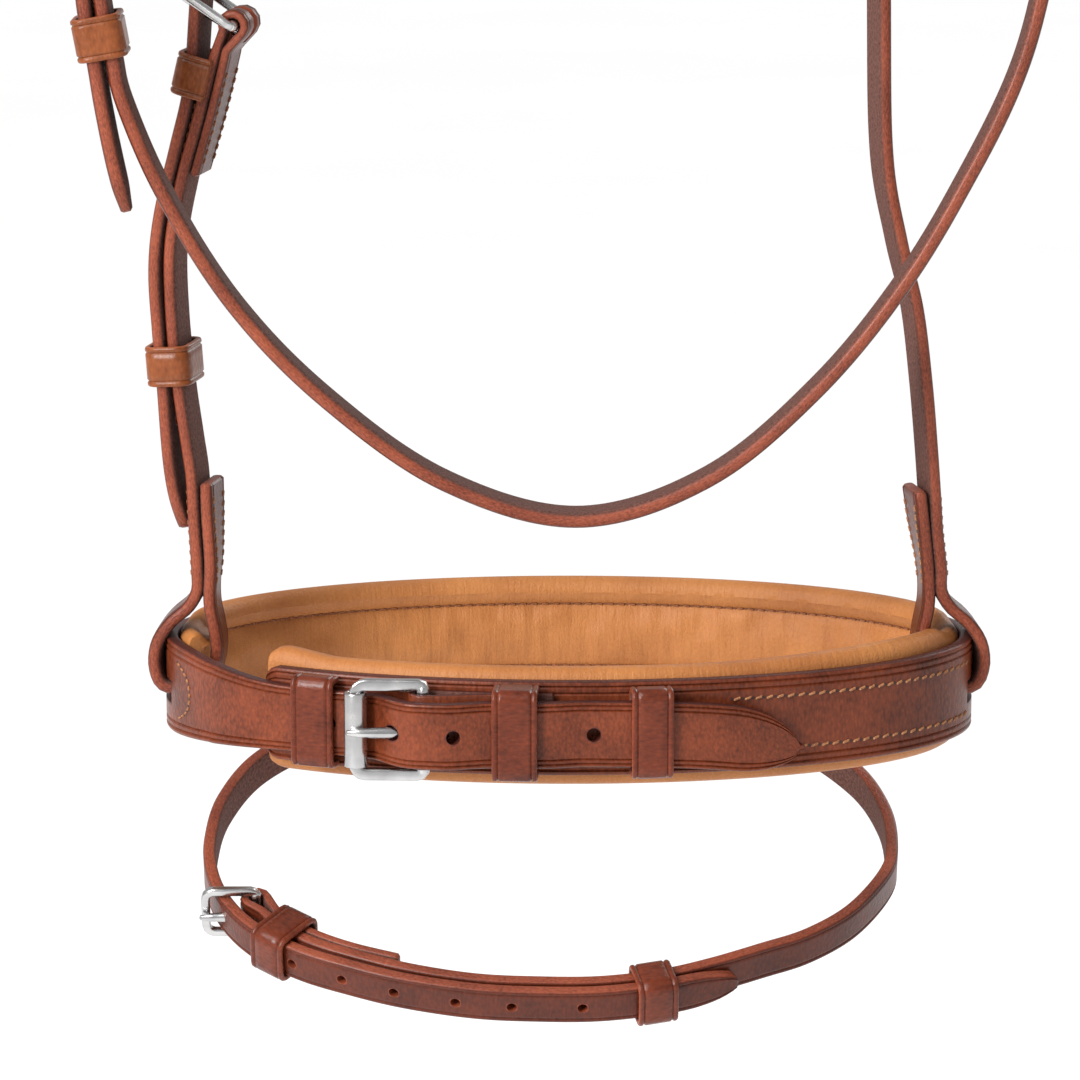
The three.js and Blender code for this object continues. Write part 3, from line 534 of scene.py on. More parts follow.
def leather(name, grain, edge, flesh, gloss=0.34):
    """Bridle leather: waxed grain face, fibrous cut edges, matt flesh side, each a dark and a light tone."""
    shader = Shader(name)
    side = shader.node("ShaderNodeAttribute", {}, 2, attribute_name="side")
    is_grain, is_flesh = [
        shader.node("ShaderNodeMath", {0: side, 1: steepness}, operation="MULTIPLY", use_clamp=True)
        for steepness in (2.2, -2.2)
    ]
    cloud = shader.noise(shader.place, 60.0, 3.0)
    pull = shader.noise(shader.stretched(shader.uv, 1500.0, 420.0), 1.0, 5.0, 0.6)
    pebbles = shader.node("ShaderNodeTexVoronoi", feature="SMOOTH_F1", inputs={
        "Vector": shader.stretched(shader.uv, 1250.0, 760.0), "Scale": 1.0})
    tone = shader.weighted((cloud, 0.5), (pull, 0.4), (pebbles, -0.2))
    grain_colour = shader.ramp(tone, [(0.2, grain[0]), (0.52, grain[1])])

    fibre = shader.noise(shader.stretched(shader.uv, 900.0, 2400.0), 1.0, 6.0, 0.7)
    worn = shader.weighted((fibre, 0.7), (cloud, 0.3))
    edge_colour = shader.ramp(worn, [(0.36, edge[0]), (0.64, edge[1])])
    nap = shader.noise(shader.uv, 1100.0, 6.0, 0.7)
    flesh_colour = shader.ramp(nap, [(0.34, flesh[0]), (0.68, flesh[1])])

    def by_side(on_edge, on_grain, on_flesh):
        return shader.mix(is_flesh, shader.mix(is_grain, on_edge, on_grain), on_flesh)
    grain_rough = shader.weighted((cloud, 0.3), plus=gloss - 0.12)
    edge_rough = shader.weighted((fibre, 0.24), plus=0.34)
    height = by_side(fibre, shader.weighted((pull, 0.6), (pebbles, 0.6)), nap)
    return shader.finish(
        Base_Color=by_side(edge_colour, grain_colour, flesh_colour),
        Roughness=by_side(edge_rough, grain_rough, (0.8, 0.8, 0.8, 1.0)),
        Coat_Weight=shader.weighted((is_flesh, -0.14), plus=0.14), Coat_Roughness=0.2, Specular_IOR_Level=0.2,
        Normal=shader.bump(height, shader.weighted((is_grain, -0.4), plus=1.0), 0.24),
    )


def padding_leather():
    """Soft tan leather with a fine grain and random darker blotches, and painted shade that makes the hollows
    of its folds a little darker.
    """
    shader = Shader("padding_leather")
    cloud = shader.noise(shader.place, 34.0, 4.0)
    fine = shader.noise(shader.uv, 1100.0, 5.0, 0.65)
    folds = shader.noise(shader.stretched(shader.uv, 700.0, 90.0), 1.0, 4.0, 0.6)
    # painted shade: the folds term darkens the colour where the fold bump is low, in the fold hollows
    tone = shader.weighted((cloud, 0.5), (fine, 0.25), (folds, 0.12))
    cells = shader.node("ShaderNodeTexVoronoi", feature="DISTANCE_TO_EDGE", inputs={
        "Vector": shader.uv, "Scale": 1100.0})
    height = shader.weighted((folds, 1.5), (fine, 0.25), (cells, 0.6))
    return shader.finish(
        Base_Color=shader.ramp(tone, [(0.28, (146, 86, 42)), (0.62, (188, 124, 68))]),
        Roughness=shader.weighted((fine, 0.2), plus=0.4), Specular_IOR_Level=0.3,
        Normal=shader.bump(height, 0.75, 0.3),
    )


def thread_material(name, dark, light):
    """Waxed twisted thread."""
    shader = Shader(name)
    twist = shader.noise(shader.place, 2600.0, 2.0)
    return shader.finish(
        Base_Color=shader.ramp(twist, [(0.35, dark), (0.7, light)]), Roughness=0.6,
        Normal=shader.bump(twist, 0.6, 0.08),
    )


def satin_steel():
    """Stainless steel, tumbled to a satin with faint rubbing marks."""
    shader = Shader("satin_steel")
    cloud = shader.noise(shader.place, 120.0, 3.0)
    rubbed = shader.noise(shader.stretched(shader.place, 500.0, 500.0, 3200.0), 1.0, 3.0)
    return shader.finish(
        Base_Color=shader.ramp(cloud, [(0.3, (168, 167, 168)), (0.75, (204, 203, 202))]), Metallic=1.0,
        Roughness=shader.weighted((cloud, 0.16), (rubbed, 0.12), plus=0.1),
        Normal=shader.bump(rubbed, 0.12, 0.05),
    )


HAVANA = {"grain": ((60, 23, 12), (98, 41, 22)), "edge": ((80, 31, 20), (156, 79, 53)),
          "flesh": ((60, 34, 28), (114, 75, 65))}
BROWN = leather("bridle_leather", **HAVANA)
KEEPER_BROWN = leather("keeper_brown", **{**HAVANA, "grain": ((72, 29, 16), (112, 49, 28))}, gloss=0.27)
CHESTNUT = leather("keeper_leather", ((94, 46, 20), (134, 72, 36)), ((110, 52, 28), (168, 96, 60)),
                   ((80, 54, 40), (120, 90, 72)), gloss=0.3)
DARK_BROWN = leather("noseband_leather", ((70, 29, 16), (124, 58, 32)), ((48, 20, 16), (88, 40, 32)),
                     HAVANA["flesh"], gloss=0.32)
TAN = padding_leather()
TAN_THREAD = thread_material("tan_thread", (118, 70, 38), (172, 116, 70))
BROWN_THREAD = thread_material("brown_thread", (104, 56, 28), (152, 92, 50))
# painted shade: dark tones for the discs that stand in for the shade inside stitch holes
PRICKED_HOLE_SHADE = thread_material("pricked_hole_shade", (44, 20, 12), (66, 34, 22))
# painted shade: lighter tones for the discs in the padding's stitch dimples
DIMPLE_SHADE = thread_material("dimple_shade", (96, 52, 26), (126, 72, 38))
STEEL = satin_steel()


def add(name, body, material, nodes, moves, cutters=()):
    """Makes a piece and hides the CAD nodes it stands for. Given one body it moves with it; given two, it
    stays fixed where it is made.
    """
    piece = make_piece(name, body, material)
    if cutters:
        carve(piece, cutters)
    if nodes:
        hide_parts(*nodes)
    if isinstance(moves, str):
        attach(piece, moves)
    else:
        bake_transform(piece)
    return piece


def add_strap(name, node, body, moves, cutters=(), material=None):
    """Adds a strap of bridle leather that stands for one node."""
    add(name, body, material or BROWN, [node], moves, cutters)


def swing_bend(first, second, name):
    """Where a strap bends between the headpiece and what hangs from it, just below the browband."""
    top = joint_place(name)
    return first, second, Vector((0, top.y, BROWBAND_LOW.z - 2)), Vector((0, top.y, SWING.z - 34))


CHEEK_BEND = swing_bend("headpiece", "cheeks", "cheek_swing")
THROAT_BEND = swing_bend("headpiece", "throat", "throat_swing")

# ---- headpiece and browband ----
HEADPIECE_HALF = [
    (5, 1.75), (18, 1.2), (30, -3), (44, -19), (56, -40), (66, -68), (74, -96), (80, -120), (83, -128),
]
SPLIT_TOP = -66
TAIL_Y = (CHEEK_Y - THROAT_Y - CHEEK_WIDTH) / 2
SEAM_Z = BROWBAND_Z         # the headpiece's leather and the straps below meet inside the browband's eyes


def upright(y):
    """Lays a line drawn across the bridle in the upright plane at that y."""
    return lambda x, z, across: Vector((x, y + across, z))


def headpiece():
    right = [point for point in spline(HEADPIECE_HALF, 1.5) if point.y >= SEAM_Z]
    line = evenly(mirrored(right)[::-1] + right, 2.0)
    strap = Strap(line, HEADPIECE_WIDTH, HEADPIECE_THICK, upright(0))
    cutters = [
        block(Matrix(), -130, -TAIL_Y, -220, 130, TAIL_Y, SPLIT_TOP),
        drum((0, 0, SPLIT_TOP), (1, 0, 0), TAIL_Y, 260, 28),
    ]
    add_strap("crown", "headpiece", sweep(strap, 2.0, creases=(2.2,), face_steps=10), "headpiece", cutters)


EYE = {"x": 75, "back": -19.8, "radius": 6.3, "front": 20}
EYE_END = [(75, 43), (76.4, 35), (74.6, 29.4), (70, 24.6), (68, 17)]


def browband():
    x, radius = EYE["x"], EYE["radius"]
    half = [(x + radius, EYE["front"]), (x + 3, 48), (60, 82), (33, 108)]
    eye = spline(EYE_END, 1.5) + arc(x, EYE["back"], radius, 180, 360, 14) + [Vector(half[0])]
    brow = spline(half + [(0, 117)] + mirrored(half)[::-1], 2.5)
    line = evenly(eye + brow[1:-1] + mirrored(eye)[::-1], 2.0)
    strap = Strap(line, BROWBAND_WIDTH, CHEEK_THICK, lambda u, w, across: Vector((u, w, BROWBAND_Z + across)),
                  grain=-1)
    add_strap("brow_strap", "browband", sweep(strap, 2.0, creases=(1.6,), face_steps=8), "headpiece")
    eye_length = running_lengths(eye)[-1]
    rows = [[(eye_length + 12, v), (strap.length - eye_length - 12, v)] for v in (-5.6, 5.6)]
    for start in (eye_length + 4, strap.length - eye_length - 10):
        rows += [[(start, v), (start + 6, v)] for v in (-2.8, 0, 2.8)]
    sew("brow_stitches", strap, rows, TAN_THREAD, "bridle_leather", "headpiece")


headpiece()
browband()

# ---- cheek straps ----
LOOP_TURN = 4
CHEEK_TURN = 13
TURN_X = 97                 # the upright that a cheek is turned about
turn_at = profile([(-465, LOOP_TURN), (-440, CHEEK_TURN), (-285, CHEEK_TURN), (-135, 0)])


def hang_cheek(side):
    """Twists what is drawn on a cheek about its upright, then leans it to the nose, as in the CAD."""
    lean = Matrix.Rotation(LEAN, 3, "X")

    def warp(place):
        angle = side * math.radians(turn_at(place.z))
        x, y = place.x - TURN_X * side, place.y - CHEEK_Y
        turned = Vector((
            TURN_X * side + x * math.cos(angle) - y * math.sin(angle),
            x * math.sin(angle) + y * math.cos(angle),
            place.z - SWING.z,
        ))
        return lean @ turned + Vector((0, CHEEK_Y, SWING.z)) if place.z < SWING.z + 22 else place
    return warp


# The loop that holds the noseband, on the right, from the outer layer to the inner one.
LOOP = [
    (97, -460), (97.2, -465), (99.6, -469.4), (103.8, -473), (107, -477), (108.6, -481), (108.8, -486),
    (106.8, -490.6), (101, -491.6), (96.2, -491), (93.4, -487.4), (92.2, -481), (92.8, -475), (93.8, -470),
    (94, -465),
]
RIGHT_CHEEK = [
    (72.6, -92), (74.6, -98), (78.3, -110), (80, -120), (79.2, -180), (77.8, -250), (78.4, -312),
    (79.8, -350), (84, -372), (88.6, -390), (91.4, -410), (93.2, -428), (94.8, -446), (96.2, -455), *LOOP,
    (93.2, -457), (91.4, -447), (90, -438),
]
CHEEK_BAR = (-84.3, -316)
LEFT_CHAPE = [(-95.3, -355), (-91.4, -342), (-88.4, -331), (-86.3, -322.5)]
LEFT_CHEEK = [
    (-88.4, -321), (-91.4, -330), (-94.6, -342), (-98.9, -357), (-102.2, -374), (-102.1, -393),
    (-100.6, -411), (-98.7, -425), (-97.3, -436), (-97, -452), *mirrored(LOOP), (-93.4, -457),
    (-93.4, -447), (-93.5, -436),
]
LEFT_BILLET = [
    (-72.6, -92), (-74.6, -98), (-78.3, -110), (-80, -120), (-84, -180), (-89.4, -250), (-93.4, -298),
    (-94.6, -314), (-96.4, -332), (-100.4, -348), (-105, -366), (-106.6, -380), (-105.9, -396),
    (-104.9, -410), (-103.4, -432), (-100.4, -449),
]
TONGUE_SLOT = (-5.4, -1.6, -5, 5.4, 1.6, 5.4)    # corners of the slot in a chape, about the buckle's bar
CHEEK_CREASE = (2.1,)
CHEEK_ROUNDING = 1.35


def length_to(line, z, last=False):
    """How far along a line it first, or last, passes a height."""
    lengths = running_lengths(line)
    passes = [s for s, a, b in zip(lengths, line, line[1:]) if (a.y - z) * (b.y - z) <= 0]
    return passes[-1 if last else 0]


def pointed(width, length, tip, blunt=0.16):
    """A width that closes to a blunt point at the end of a strap."""
    def value(s):
        left = length - s
        if left >= tip:
            return width
        t = max(left, 0) / tip
        return width * (blunt + (1 - blunt) * math.sin(t * math.pi / 2) ** 0.55)
    return value


def right_cheek():
    line = spline(RIGHT_CHEEK, 1.6)
    strap = Strap(line, CHEEK_WIDTH, CHEEK_THICK, upright(CHEEK_Y), 1, hang_cheek(1))
    body = sweep(strap, 2.0, CHEEK_ROUNDING, CHEEK_CREASE)
    add_strap("right_cheek", "right_cheek_strap", body, CHEEK_BEND)
    loop_rows(strap, "right_loop_stitches", line, -441, -463)


def loop_rows(strap, name, line, top, low):
    """The rows that sew a cheek loop's end to its strap, seen on both of their outer faces."""
    rows = []
    for last in (False, True):
        start, stop = sorted((length_to(line, top, last), length_to(line, low, last)))
        rows += [[(start, v), (stop, v)] for v in (-4.4, 4.4)]
    sew(name, strap, rows, TAN_THREAD, "bridle_leather", "cheeks", pitch=2.6)


def left_cheek():
    chape, fold = spline(LEFT_CHAPE, 1.6), arc(*CHEEK_BAR, 3, -50, 205, 16)
    line, layers, fold_end = folded(chape, fold, spline(LEFT_CHEEK, 1.6), CHEEK_THICK)
    strap = Strap(line, CHEEK_WIDTH, layers, upright(CHEEK_Y), -1, hang_cheek(-1))
    bar = hang_cheek(-1)(Vector((CHEEK_BAR[0], CHEEK_Y, CHEEK_BAR[1])))
    add_strap("left_cheek", "left_cheek_strap", sweep(strap, 1.6, CHEEK_ROUNDING, CHEEK_CREASE), "cheeks",
              [block(Matrix.Translation(bar), *TONGUE_SLOT)])
    spans = ((3, running_lengths(chape)[-1] - 5), (fold_end + 12, fold_end + 36))
    rows = [[(start, v), (stop, v)] for start, stop in spans for v in (-4.6, 4.6)]
    sew("left_chape_stitches", strap, rows, BROWN_THREAD, "bridle_leather", "cheeks", pitch=2.6)
    loop_rows(strap, "left_loop_stitches", line, -439, -463)


def billet(name, node, knots, tip, y, thickness, pared, rounding, hole_heights, bend, warp=None):
    """A strap with a pointed tip, thinner over its last 8 mm, and holes for a buckle."""
    line = spline(knots, 1.6)
    total = running_lengths(line)[-1]
    thick = profile([(total - 8, thickness), (total, pared * thickness)])
    strap = Strap(line, pointed(CHEEK_WIDTH, total, tip), thick, upright(y), -1, warp)
    holes = [punch(strap, length_to(line, z), HOLE_RADIUS * 0.85, 3 * thickness) for z in hole_heights]
    add_strap(name, node, sweep(strap, 1.8, rounding, CHEEK_CREASE), bend, holes)


right_cheek()
left_cheek()
billet("left_billet", "left_cheek_billet", LEFT_BILLET, tip=13, y=CHEEK_Y, thickness=CHEEK_THICK, pared=1,
       rounding=CHEEK_ROUNDING, hole_heights=(-309, -346, -364, -382, -421), bend=CHEEK_BEND,
       warp=hang_cheek(-1))


# ---- keepers ----
def local_frame(origin, along, out):
    """A frame with x along a strap, y across it and z outwards from it."""
    x, z = Vector(along).normalized(), Vector(out).normalized()
    y = z.cross(x)
    return Matrix((
        (x.x, y.x, z.x, origin[0]), (x.y, y.y, z.y, origin[1]), (x.z, y.z, z.z, origin[2]), (0, 0, 0, 1)))


def keeper(name, node, body, place, bottom, top, length, half_width, wall, material, corner=1.5,
           closed=True, warp=None):
    """A band of leather round a strap, creased along both edges; an open one has no back between its two
    feet.
    """
    h, r = half_width + wall / 2, corner
    high, low = top + wall / 2, bottom + wall / 2
    upper = arc(h - r, high - r, r, 0, 90, 5) + arc(r - h, high - r, r, 90, 180, 5)
    if closed:
        line = upper + arc(r - h, low + r, r, 180, 270, 5) + arc(h - r, low + r, r, 270, 360, 5)
    else:
        line = [Vector((h, bottom + 0.3))] + upper + [Vector((-h, bottom + 0.3))]
    dense = []
    ring = line + line[:1] if closed else line
    for a, b in zip(ring, ring[1:]):
        count = max(1, round((b - a).length / 1.5))
        dense += [a.lerp(b, k / count) for k in range(count)]
    if not closed:
        dense.append(ring[-1])

    def lay(y, z, along):
        here = place @ Vector((along, y, z))
        return warp(here) if warp else here
    strap = Strap(dense, length, wall, lay, grain=-1, closed=closed)
    band = sweep(strap, 1.0, rounding=0.6, creases=(1.5,), depth=0.4)
    add(name, band, material, [node], body)


def upright_frame(x, y, z, down):
    """A keeper's frame on a strap drawn in an upright plane."""
    return local_frame((x, y, z), down, Vector((0, 1, 0)).cross(Vector(down)))


ON_CHEEK = {"half_width": CHEEK_WIDTH / 2 + GAP, "wall": 1.6, "material": CHESTNUT, "corner": 2.6}
keeper("cheek_fixed_keeper", "cheek_keeper_fixed", "cheeks",
       upright_frame(-93.9, CHEEK_Y, -329.5, (-3, 0, -12)),
       bottom=-3.6, top=4.9, length=11, closed=False, warp=hang_cheek(-1), **ON_CHEEK)
keeper("cheek_running_keeper", "cheek_keeper_running", "cheek_keeper",
       upright_frame(-103.2, CHEEK_Y, -405, (1.2, 0, -17)),
       bottom=-6.2, top=4.4, length=10.5, warp=hang_cheek(-1), **ON_CHEEK)


# ---- buckles ----
def buckle(name, place, reach, rise, inner, rail, thick, bar, tongue_thick, roller=0.0, warp=None):
    """A buckle in its own frame: hinge bar on the origin, front bar at -x, tongue on the +z side."""
    def here(x, y, z):
        point = place @ Vector((x, y, z))
        return warp(point) if warp else point

    def add_steel(part, body):
        full_name = f"{name}_buckle_{part}"
        add(full_name, body, STEEL, [full_name], f"{name}_{part}")
    half, corner = inner / 2 + rail / 2, 2.4

    def flat(x, y, across):
        return here(x, y, across + rise * -x / reach)
    path = arc(-1.2, half - 1.2, 1.2, 0, 90, 4) + arc(corner - reach, half - corner, corner, 90, 180, 6)
    path += arc(corner - reach, corner - half, corner, 180, 270, 6) + arc(-1.2, 1.2 - half, 1.2, 270, 360, 4)
    ring = Strap(evenly(path + path[:1], 1.0)[:-1], thick, rail * 0.94, flat, closed=True)
    cross = Strap([(-half, 0), (half, 0)], 2 * bar, 2 * bar, lambda y, z, across: here(across, y, z))
    rails = sweep(ring, 1.0, rounding=0.62, face_steps=4, wobble=0)
    hinge = sweep(cross, 2.0, rounding=bar, wobble=0)
    add_steel("frame", joined([rails, hinge]))

    eye = bar + GAP + tongue_thick * 0.42
    rest = rise + (roller or bar) + GAP + tongue_thick / 2
    shaft = spline([(0, eye), (-reach * 0.5, (eye + rest) / 2 - 0.3), (-reach - 1.6, rest)], 1.0)[1:]
    line = arc(0, 0, eye, -200, 90, 20)[:-1] + shaft
    total = running_lengths(line)[-1]
    thin = profile([(total - reach, tongue_thick), (total - reach * 0.6, tongue_thick * 1.4),
                    (total - 4, tongue_thick * 1.15), (total, tongue_thick * 0.7)])
    tongue = Strap(line, thin, thin, lambda x, z, across: here(x, across, z))
    add_steel("tongue", sweep(tongue, 0.8, rounding=tongue_thick, face_steps=2, wobble=0))
    if roller:
        wall = roller - bar - GAP
        turn = arc(-reach, rise, roller - wall / 2, -60, 295, 40)
        rolled = Strap(turn, inner - 2 * GAP, wall, lambda x, z, across: here(x, across, z))
        add_steel("roller", sweep(rolled, 0.6, rounding=0.35, face_steps=4, wobble=0))


TILT = math.radians(33)
BAR_OUT = Vector((-math.cos(TILT), 0, math.sin(TILT)))
TONGUE_SIDE = Vector((-math.sin(TILT), 0, -math.cos(TILT)))
SMALL = {"reach": 17, "rise": 0, "inner": 14, "rail": 2.4, "thick": 2.2, "bar": 1.5, "tongue_thick": 2}
buckle("cheek", local_frame((CHEEK_BAR[0], CHEEK_Y, CHEEK_BAR[1]), -BAR_OUT, TONGUE_SIDE), **SMALL,
       warp=hang_cheek(-1))

# ---- throat lash ----
THROAT_BAR = (-111.6, -278)
THROAT_ROUNDING = 1.6
THROAT_CHAPE = [(-115.4, -297), (-113.4, -289)]
THROAT_LASH = [
    (-115.6, -282), (-117.6, -292), (-117.7, -302), (-116.6, -312), (-114.6, -322), (-112.2, -333),
    (-102.4, -356.3), (-85, -384.6), (-62, -408.8), (-32, -430.2), (2, -439.8), (35, -429.4), (63, -405.8),
    (84.8, -378.2), (100.8, -350.4), (111.6, -327.4), (117.2, -307.6), (120.4, -285), (121.6, -255),
    (118, -215), (108.5, -178), (94.5, -147), (82.6, -122), (78.4, -110), (74.6, -98), (72.6, -92),
]
THROAT_BILLET = [
    (-72.6, -92), (-74.6, -98), (-78.4, -110), (-82.6, -122), (-94.5, -147), (-107.5, -178), (-116.5, -215),
    (-119.8, -245), (-120.6, -262), (-120.9, -278), (-122, -294), (-121.6, -308), (-119.2, -323),
    (-117.6, -334), (-115.2, -347), (-112, -361),
]


def throat_lash():
    line, layers, _ = folded(spline(THROAT_CHAPE, 1.6), arc(*THROAT_BAR, 3.1, -45, 205, 16),
                             spline(THROAT_LASH, 1.8), THROAT_THICK)
    strap = Strap(line, CHEEK_WIDTH, layers, upright(THROAT_Y), -1)
    bar = (THROAT_BAR[0], THROAT_Y, THROAT_BAR[1])
    add_strap("throat_strap", "throat_lash", sweep(strap, 2.0, THROAT_ROUNDING, CHEEK_CREASE), THROAT_BEND,
              [block(Matrix.Translation(bar), *TONGUE_SLOT)])


throat_lash()
billet("throat_billet_strap", "throat_billet", THROAT_BILLET, tip=15, y=THROAT_Y, thickness=THROAT_THICK,
       pared=0.75, rounding=THROAT_ROUNDING, hole_heights=(-235, -253, -271, -289, -328), bend=THROAT_BEND)
keeper("throat_running_keeper", "throat_keeper", "throat",
       upright_frame(-117.9, THROAT_Y, -316.5, (2.1, 0, -12)), bottom=-6.4, top=4.8, length=11, **ON_CHEEK)
buckle("throat", local_frame((THROAT_BAR[0], THROAT_Y, THROAT_BAR[1]), -BAR_OUT, TONGUE_SIDE), **SMALL)

# ---- noseband ----
# Places on the noseband are arc lengths along the oval of the padding's outer face: 0 nearest the chin,
# growing to the right, over the nose and round to the left. Heights w are outwards from that oval.
RING_STEPS = 1440
ring_lengths = [0.0]
for step in range(RING_STEPS):
    angle = math.radians((step + 0.5) * 360 / RING_STEPS - 90)
    ring_lengths.append(ring_lengths[-1] + math.hypot(RING_A * math.sin(angle), RING_B * math.cos(angle))
                        * 2 * math.pi / RING_STEPS)
PERIMETER = ring_lengths[-1]


def ring_angle(place):
    rest = place % PERIMETER
    low, high = 0, RING_STEPS
    while high - low > 1:
        middle = (low + high) // 2
        low, high = (middle, high) if ring_lengths[middle] <= rest else (low, middle)
    part = (rest - ring_lengths[low]) / (ring_lengths[high] - ring_lengths[low])
    return math.radians((low + part) * 360 / RING_STEPS - 90)


def ring_normal(place):
    angle = ring_angle(place)
    return Vector((math.cos(angle) / RING_A, math.sin(angle) / RING_B)).normalized()


def ring_point(place, w):
    angle = ring_angle(place)
    oval = Vector((RING.x + RING_A * math.cos(angle), RING.y + RING_B * math.sin(angle)))
    return oval + ring_normal(place) * w


def ring_frame(place, w):
    """A frame on the noseband: x along it, y up, z outwards."""
    point, normal = ring_point(place, w), ring_normal(place)
    return local_frame((point.x, point.y, RING.z), (-normal.y, normal.x, 0), (normal.x, normal.y, 0))


def level(u, w, across):
    return Vector((u, w, RING.z + across))


PAD_START = -81
PAD_STOP = PERIMETER * 0.75 + 14
CHIN_ROOT = PERIMETER * 0.75 + 8
HINGE_PLACE = PERIMETER - 36
HINGE_HEIGHT = 7.6
ROLLER_PLACE = HINGE_PLACE - 17
TIP_PLACE = PERIMETER + 58.5
CHIN_DROOP = 6              # how far the chin strap's tip hangs down,
DROOP_LENGTH = 82           # and over what length it comes to that
SLOT_LENGTH, SLOT_HEIGHT = 17, 6
band_lift = profile([
    (PERIMETER * 0.75 + 16, 0), (PERIMETER - 76, 3.8), (ROLLER_PLACE - 2, 3.8), (ROLLER_PLACE + 3, 4.4),
    (HINGE_PLACE - 1, 11.9), (HINGE_PLACE + 5, 11.9), (PERIMETER - 18, 7.9), (PERIMETER - 6, 7.6),
    (PERIMETER + 3, 5.8), (PERIMETER + 42, 5.8), (TIP_PLACE, 4.3),
])


def slot_cutters():
    """The slots that the cheek loops pass through."""
    cutters = []
    for side in (-1, 1):
        low, high = sorted((80 * side, 125 * side))
        cutters.append(block(Matrix(), low, SLOT.y - SLOT_LENGTH / 2, SLOT.z - SLOT_HEIGHT / 2,
                             high, SLOT.y + SLOT_LENGTH / 2, SLOT.z + SLOT_HEIGHT / 2))
    return cutters


def band_line(start, stop, step=2.0):
    count = round((stop - start) / step)
    places = [start + (stop - start) * k / count for k in range(count + 1)]
    return places, [ring_point(place, band_lift(place) + BAND_THICK / 2) for place in places]


def noseband_strap():
    """The outer leather: over the padding from under the chin, and on under the chin as the chin strap."""
    places, line = band_line(PAD_START + 1.5, TIP_PLACE, 1.6)
    lengths = running_lengths(line)
    shape = profile([(CHIN_ROOT, BAND_HEIGHT), (PERIMETER - 66, CHIN_HEIGHT)])
    tip = pointed(1.0, TIP_PLACE, 18, 0.08)

    def place_at(s):
        return places[min(bisect.bisect_left(lengths, s), len(places) - 1)]

    def droop(s):
        return -CHIN_DROOP * max(0.0, 1 - (TIP_PLACE - place_at(s)) / DROOP_LENGTH) ** 4

    def height(s):
        chamfer = 2.2 * max(0.0, 1 - s / 2.2)
        return shape(place_at(s)) * tip(place_at(s)) - 2 * chamfer
    strap = Strap(line, height, BAND_THICK, level, grain=-1, shift=droop)
    body = sweep(strap, 1.6, rounding=0.8, creases=(1.4, 3.1), depth=0.42, face_steps=10)
    holes = []
    for offset in (-61, HINGE_PLACE - 7.6 - PERIMETER, -28.5, -12, 4.5, 21):
        s = lengths[bisect.bisect_left(places, PERIMETER + offset)]
        holes.append(punch(strap, s, HOLE_RADIUS, 1.5 * BAND_THICK))
    hinge = ring_frame(HINGE_PLACE, HINGE_HEIGHT)
    low, high = hinge @ Vector((1, 0, 3.2)), hinge @ Vector((-9, 0, 5.3))
    holes.append(drum((low + high) / 2, high - low, 2, (high - low).length))
    add_strap("noseband_band", "noseband_strap", body, "noseband", slot_cutters() + holes, DARK_BROWN)

    def along(*points):
        return [(lengths[bisect.bisect_left(places, place)], v) for place, v in points]
    quarter = PERIMETER / 4
    rows = []
    for v, start in ((6.8, 40.0), (-6.8, TIP_PLACE - PERIMETER - 1)):
        rows.append(along((start, v), (quarter - 12, v)))
        rows.append(along((quarter + 14, v), (3 * quarter - 10, v)))
    sew("noseband_stitches", strap, rows, TAN_THREAD, "bridle_leather", "noseband", pitch=2.9, radius=0.36)
    root = 3 * quarter + 15
    bow = along((root, 7.6), (root + 3.8, 4.6), (root + 5.2, 0), (root + 3.8, -4.6), (root, -7.6))
    sew("chin_root_stitches", strap, [spline(bow, 0.5)], TAN_THREAD, "bridle_leather", "noseband", pitch=2.0,
        slant=0.0, radius=0.3)


noseband_strap()

PAD_ROW = 8.7               # the padding's rows of stitches, above and below its middle
PAD_END = 4.5               # each end of the padding is rounded off over this length
LOOP_PLACES = [PERIMETER / 4 - 3, 3 * PERIMETER / 4 + 3]
tuck = profile([(3 * PERIMETER / 4 - 16, 1), (PAD_STOP - 4, 0.64)])   # the left end is cut away below
rise = profile([(PAD_START + 3, 1), (PAD_START + 20, 0.9), (30, 0.9), (PERIMETER / 4 - 30, 1)])


def loop_nip(place):
    """1 where a cheek loop squeezes the padding, 0 away from it."""
    return max(profile([(7, 1), (15, 0)])(abs(place - loop)) for loop in LOOP_PLACES)


def pad_depth(place, v):
    """How far the padding stands in from its outer face: a roll along each edge, a soft middle, puckers."""
    if abs(v) > PAD_ROW:
        across = min(1.0, (abs(v) - PAD_ROW) / (PAD_HEIGHT / 2 - PAD_ROW) * 0.86)
        swell = math.sin(math.pi * across) ** 0.75
        pucker = noise.noise(Vector((place * 0.4, v * 0.12, 2.0))) * 0.3
    else:
        swell = 0.62 * (1 - (v / PAD_ROW) ** 2) ** 0.8
        pucker = (noise.noise(Vector((place * 0.45, v * 0.06, 5.0))) * 0.55
                  + noise.noise(Vector((place * 0.13, v * 0.14, 9.0))) * 0.8)
    loose = 1 - loop_nip(place)
    return PAD_THICK * (0.6 + 0.38 * swell) * (0.8 + 0.2 * loose) + pucker * loose * min(1.0, 3 * swell)


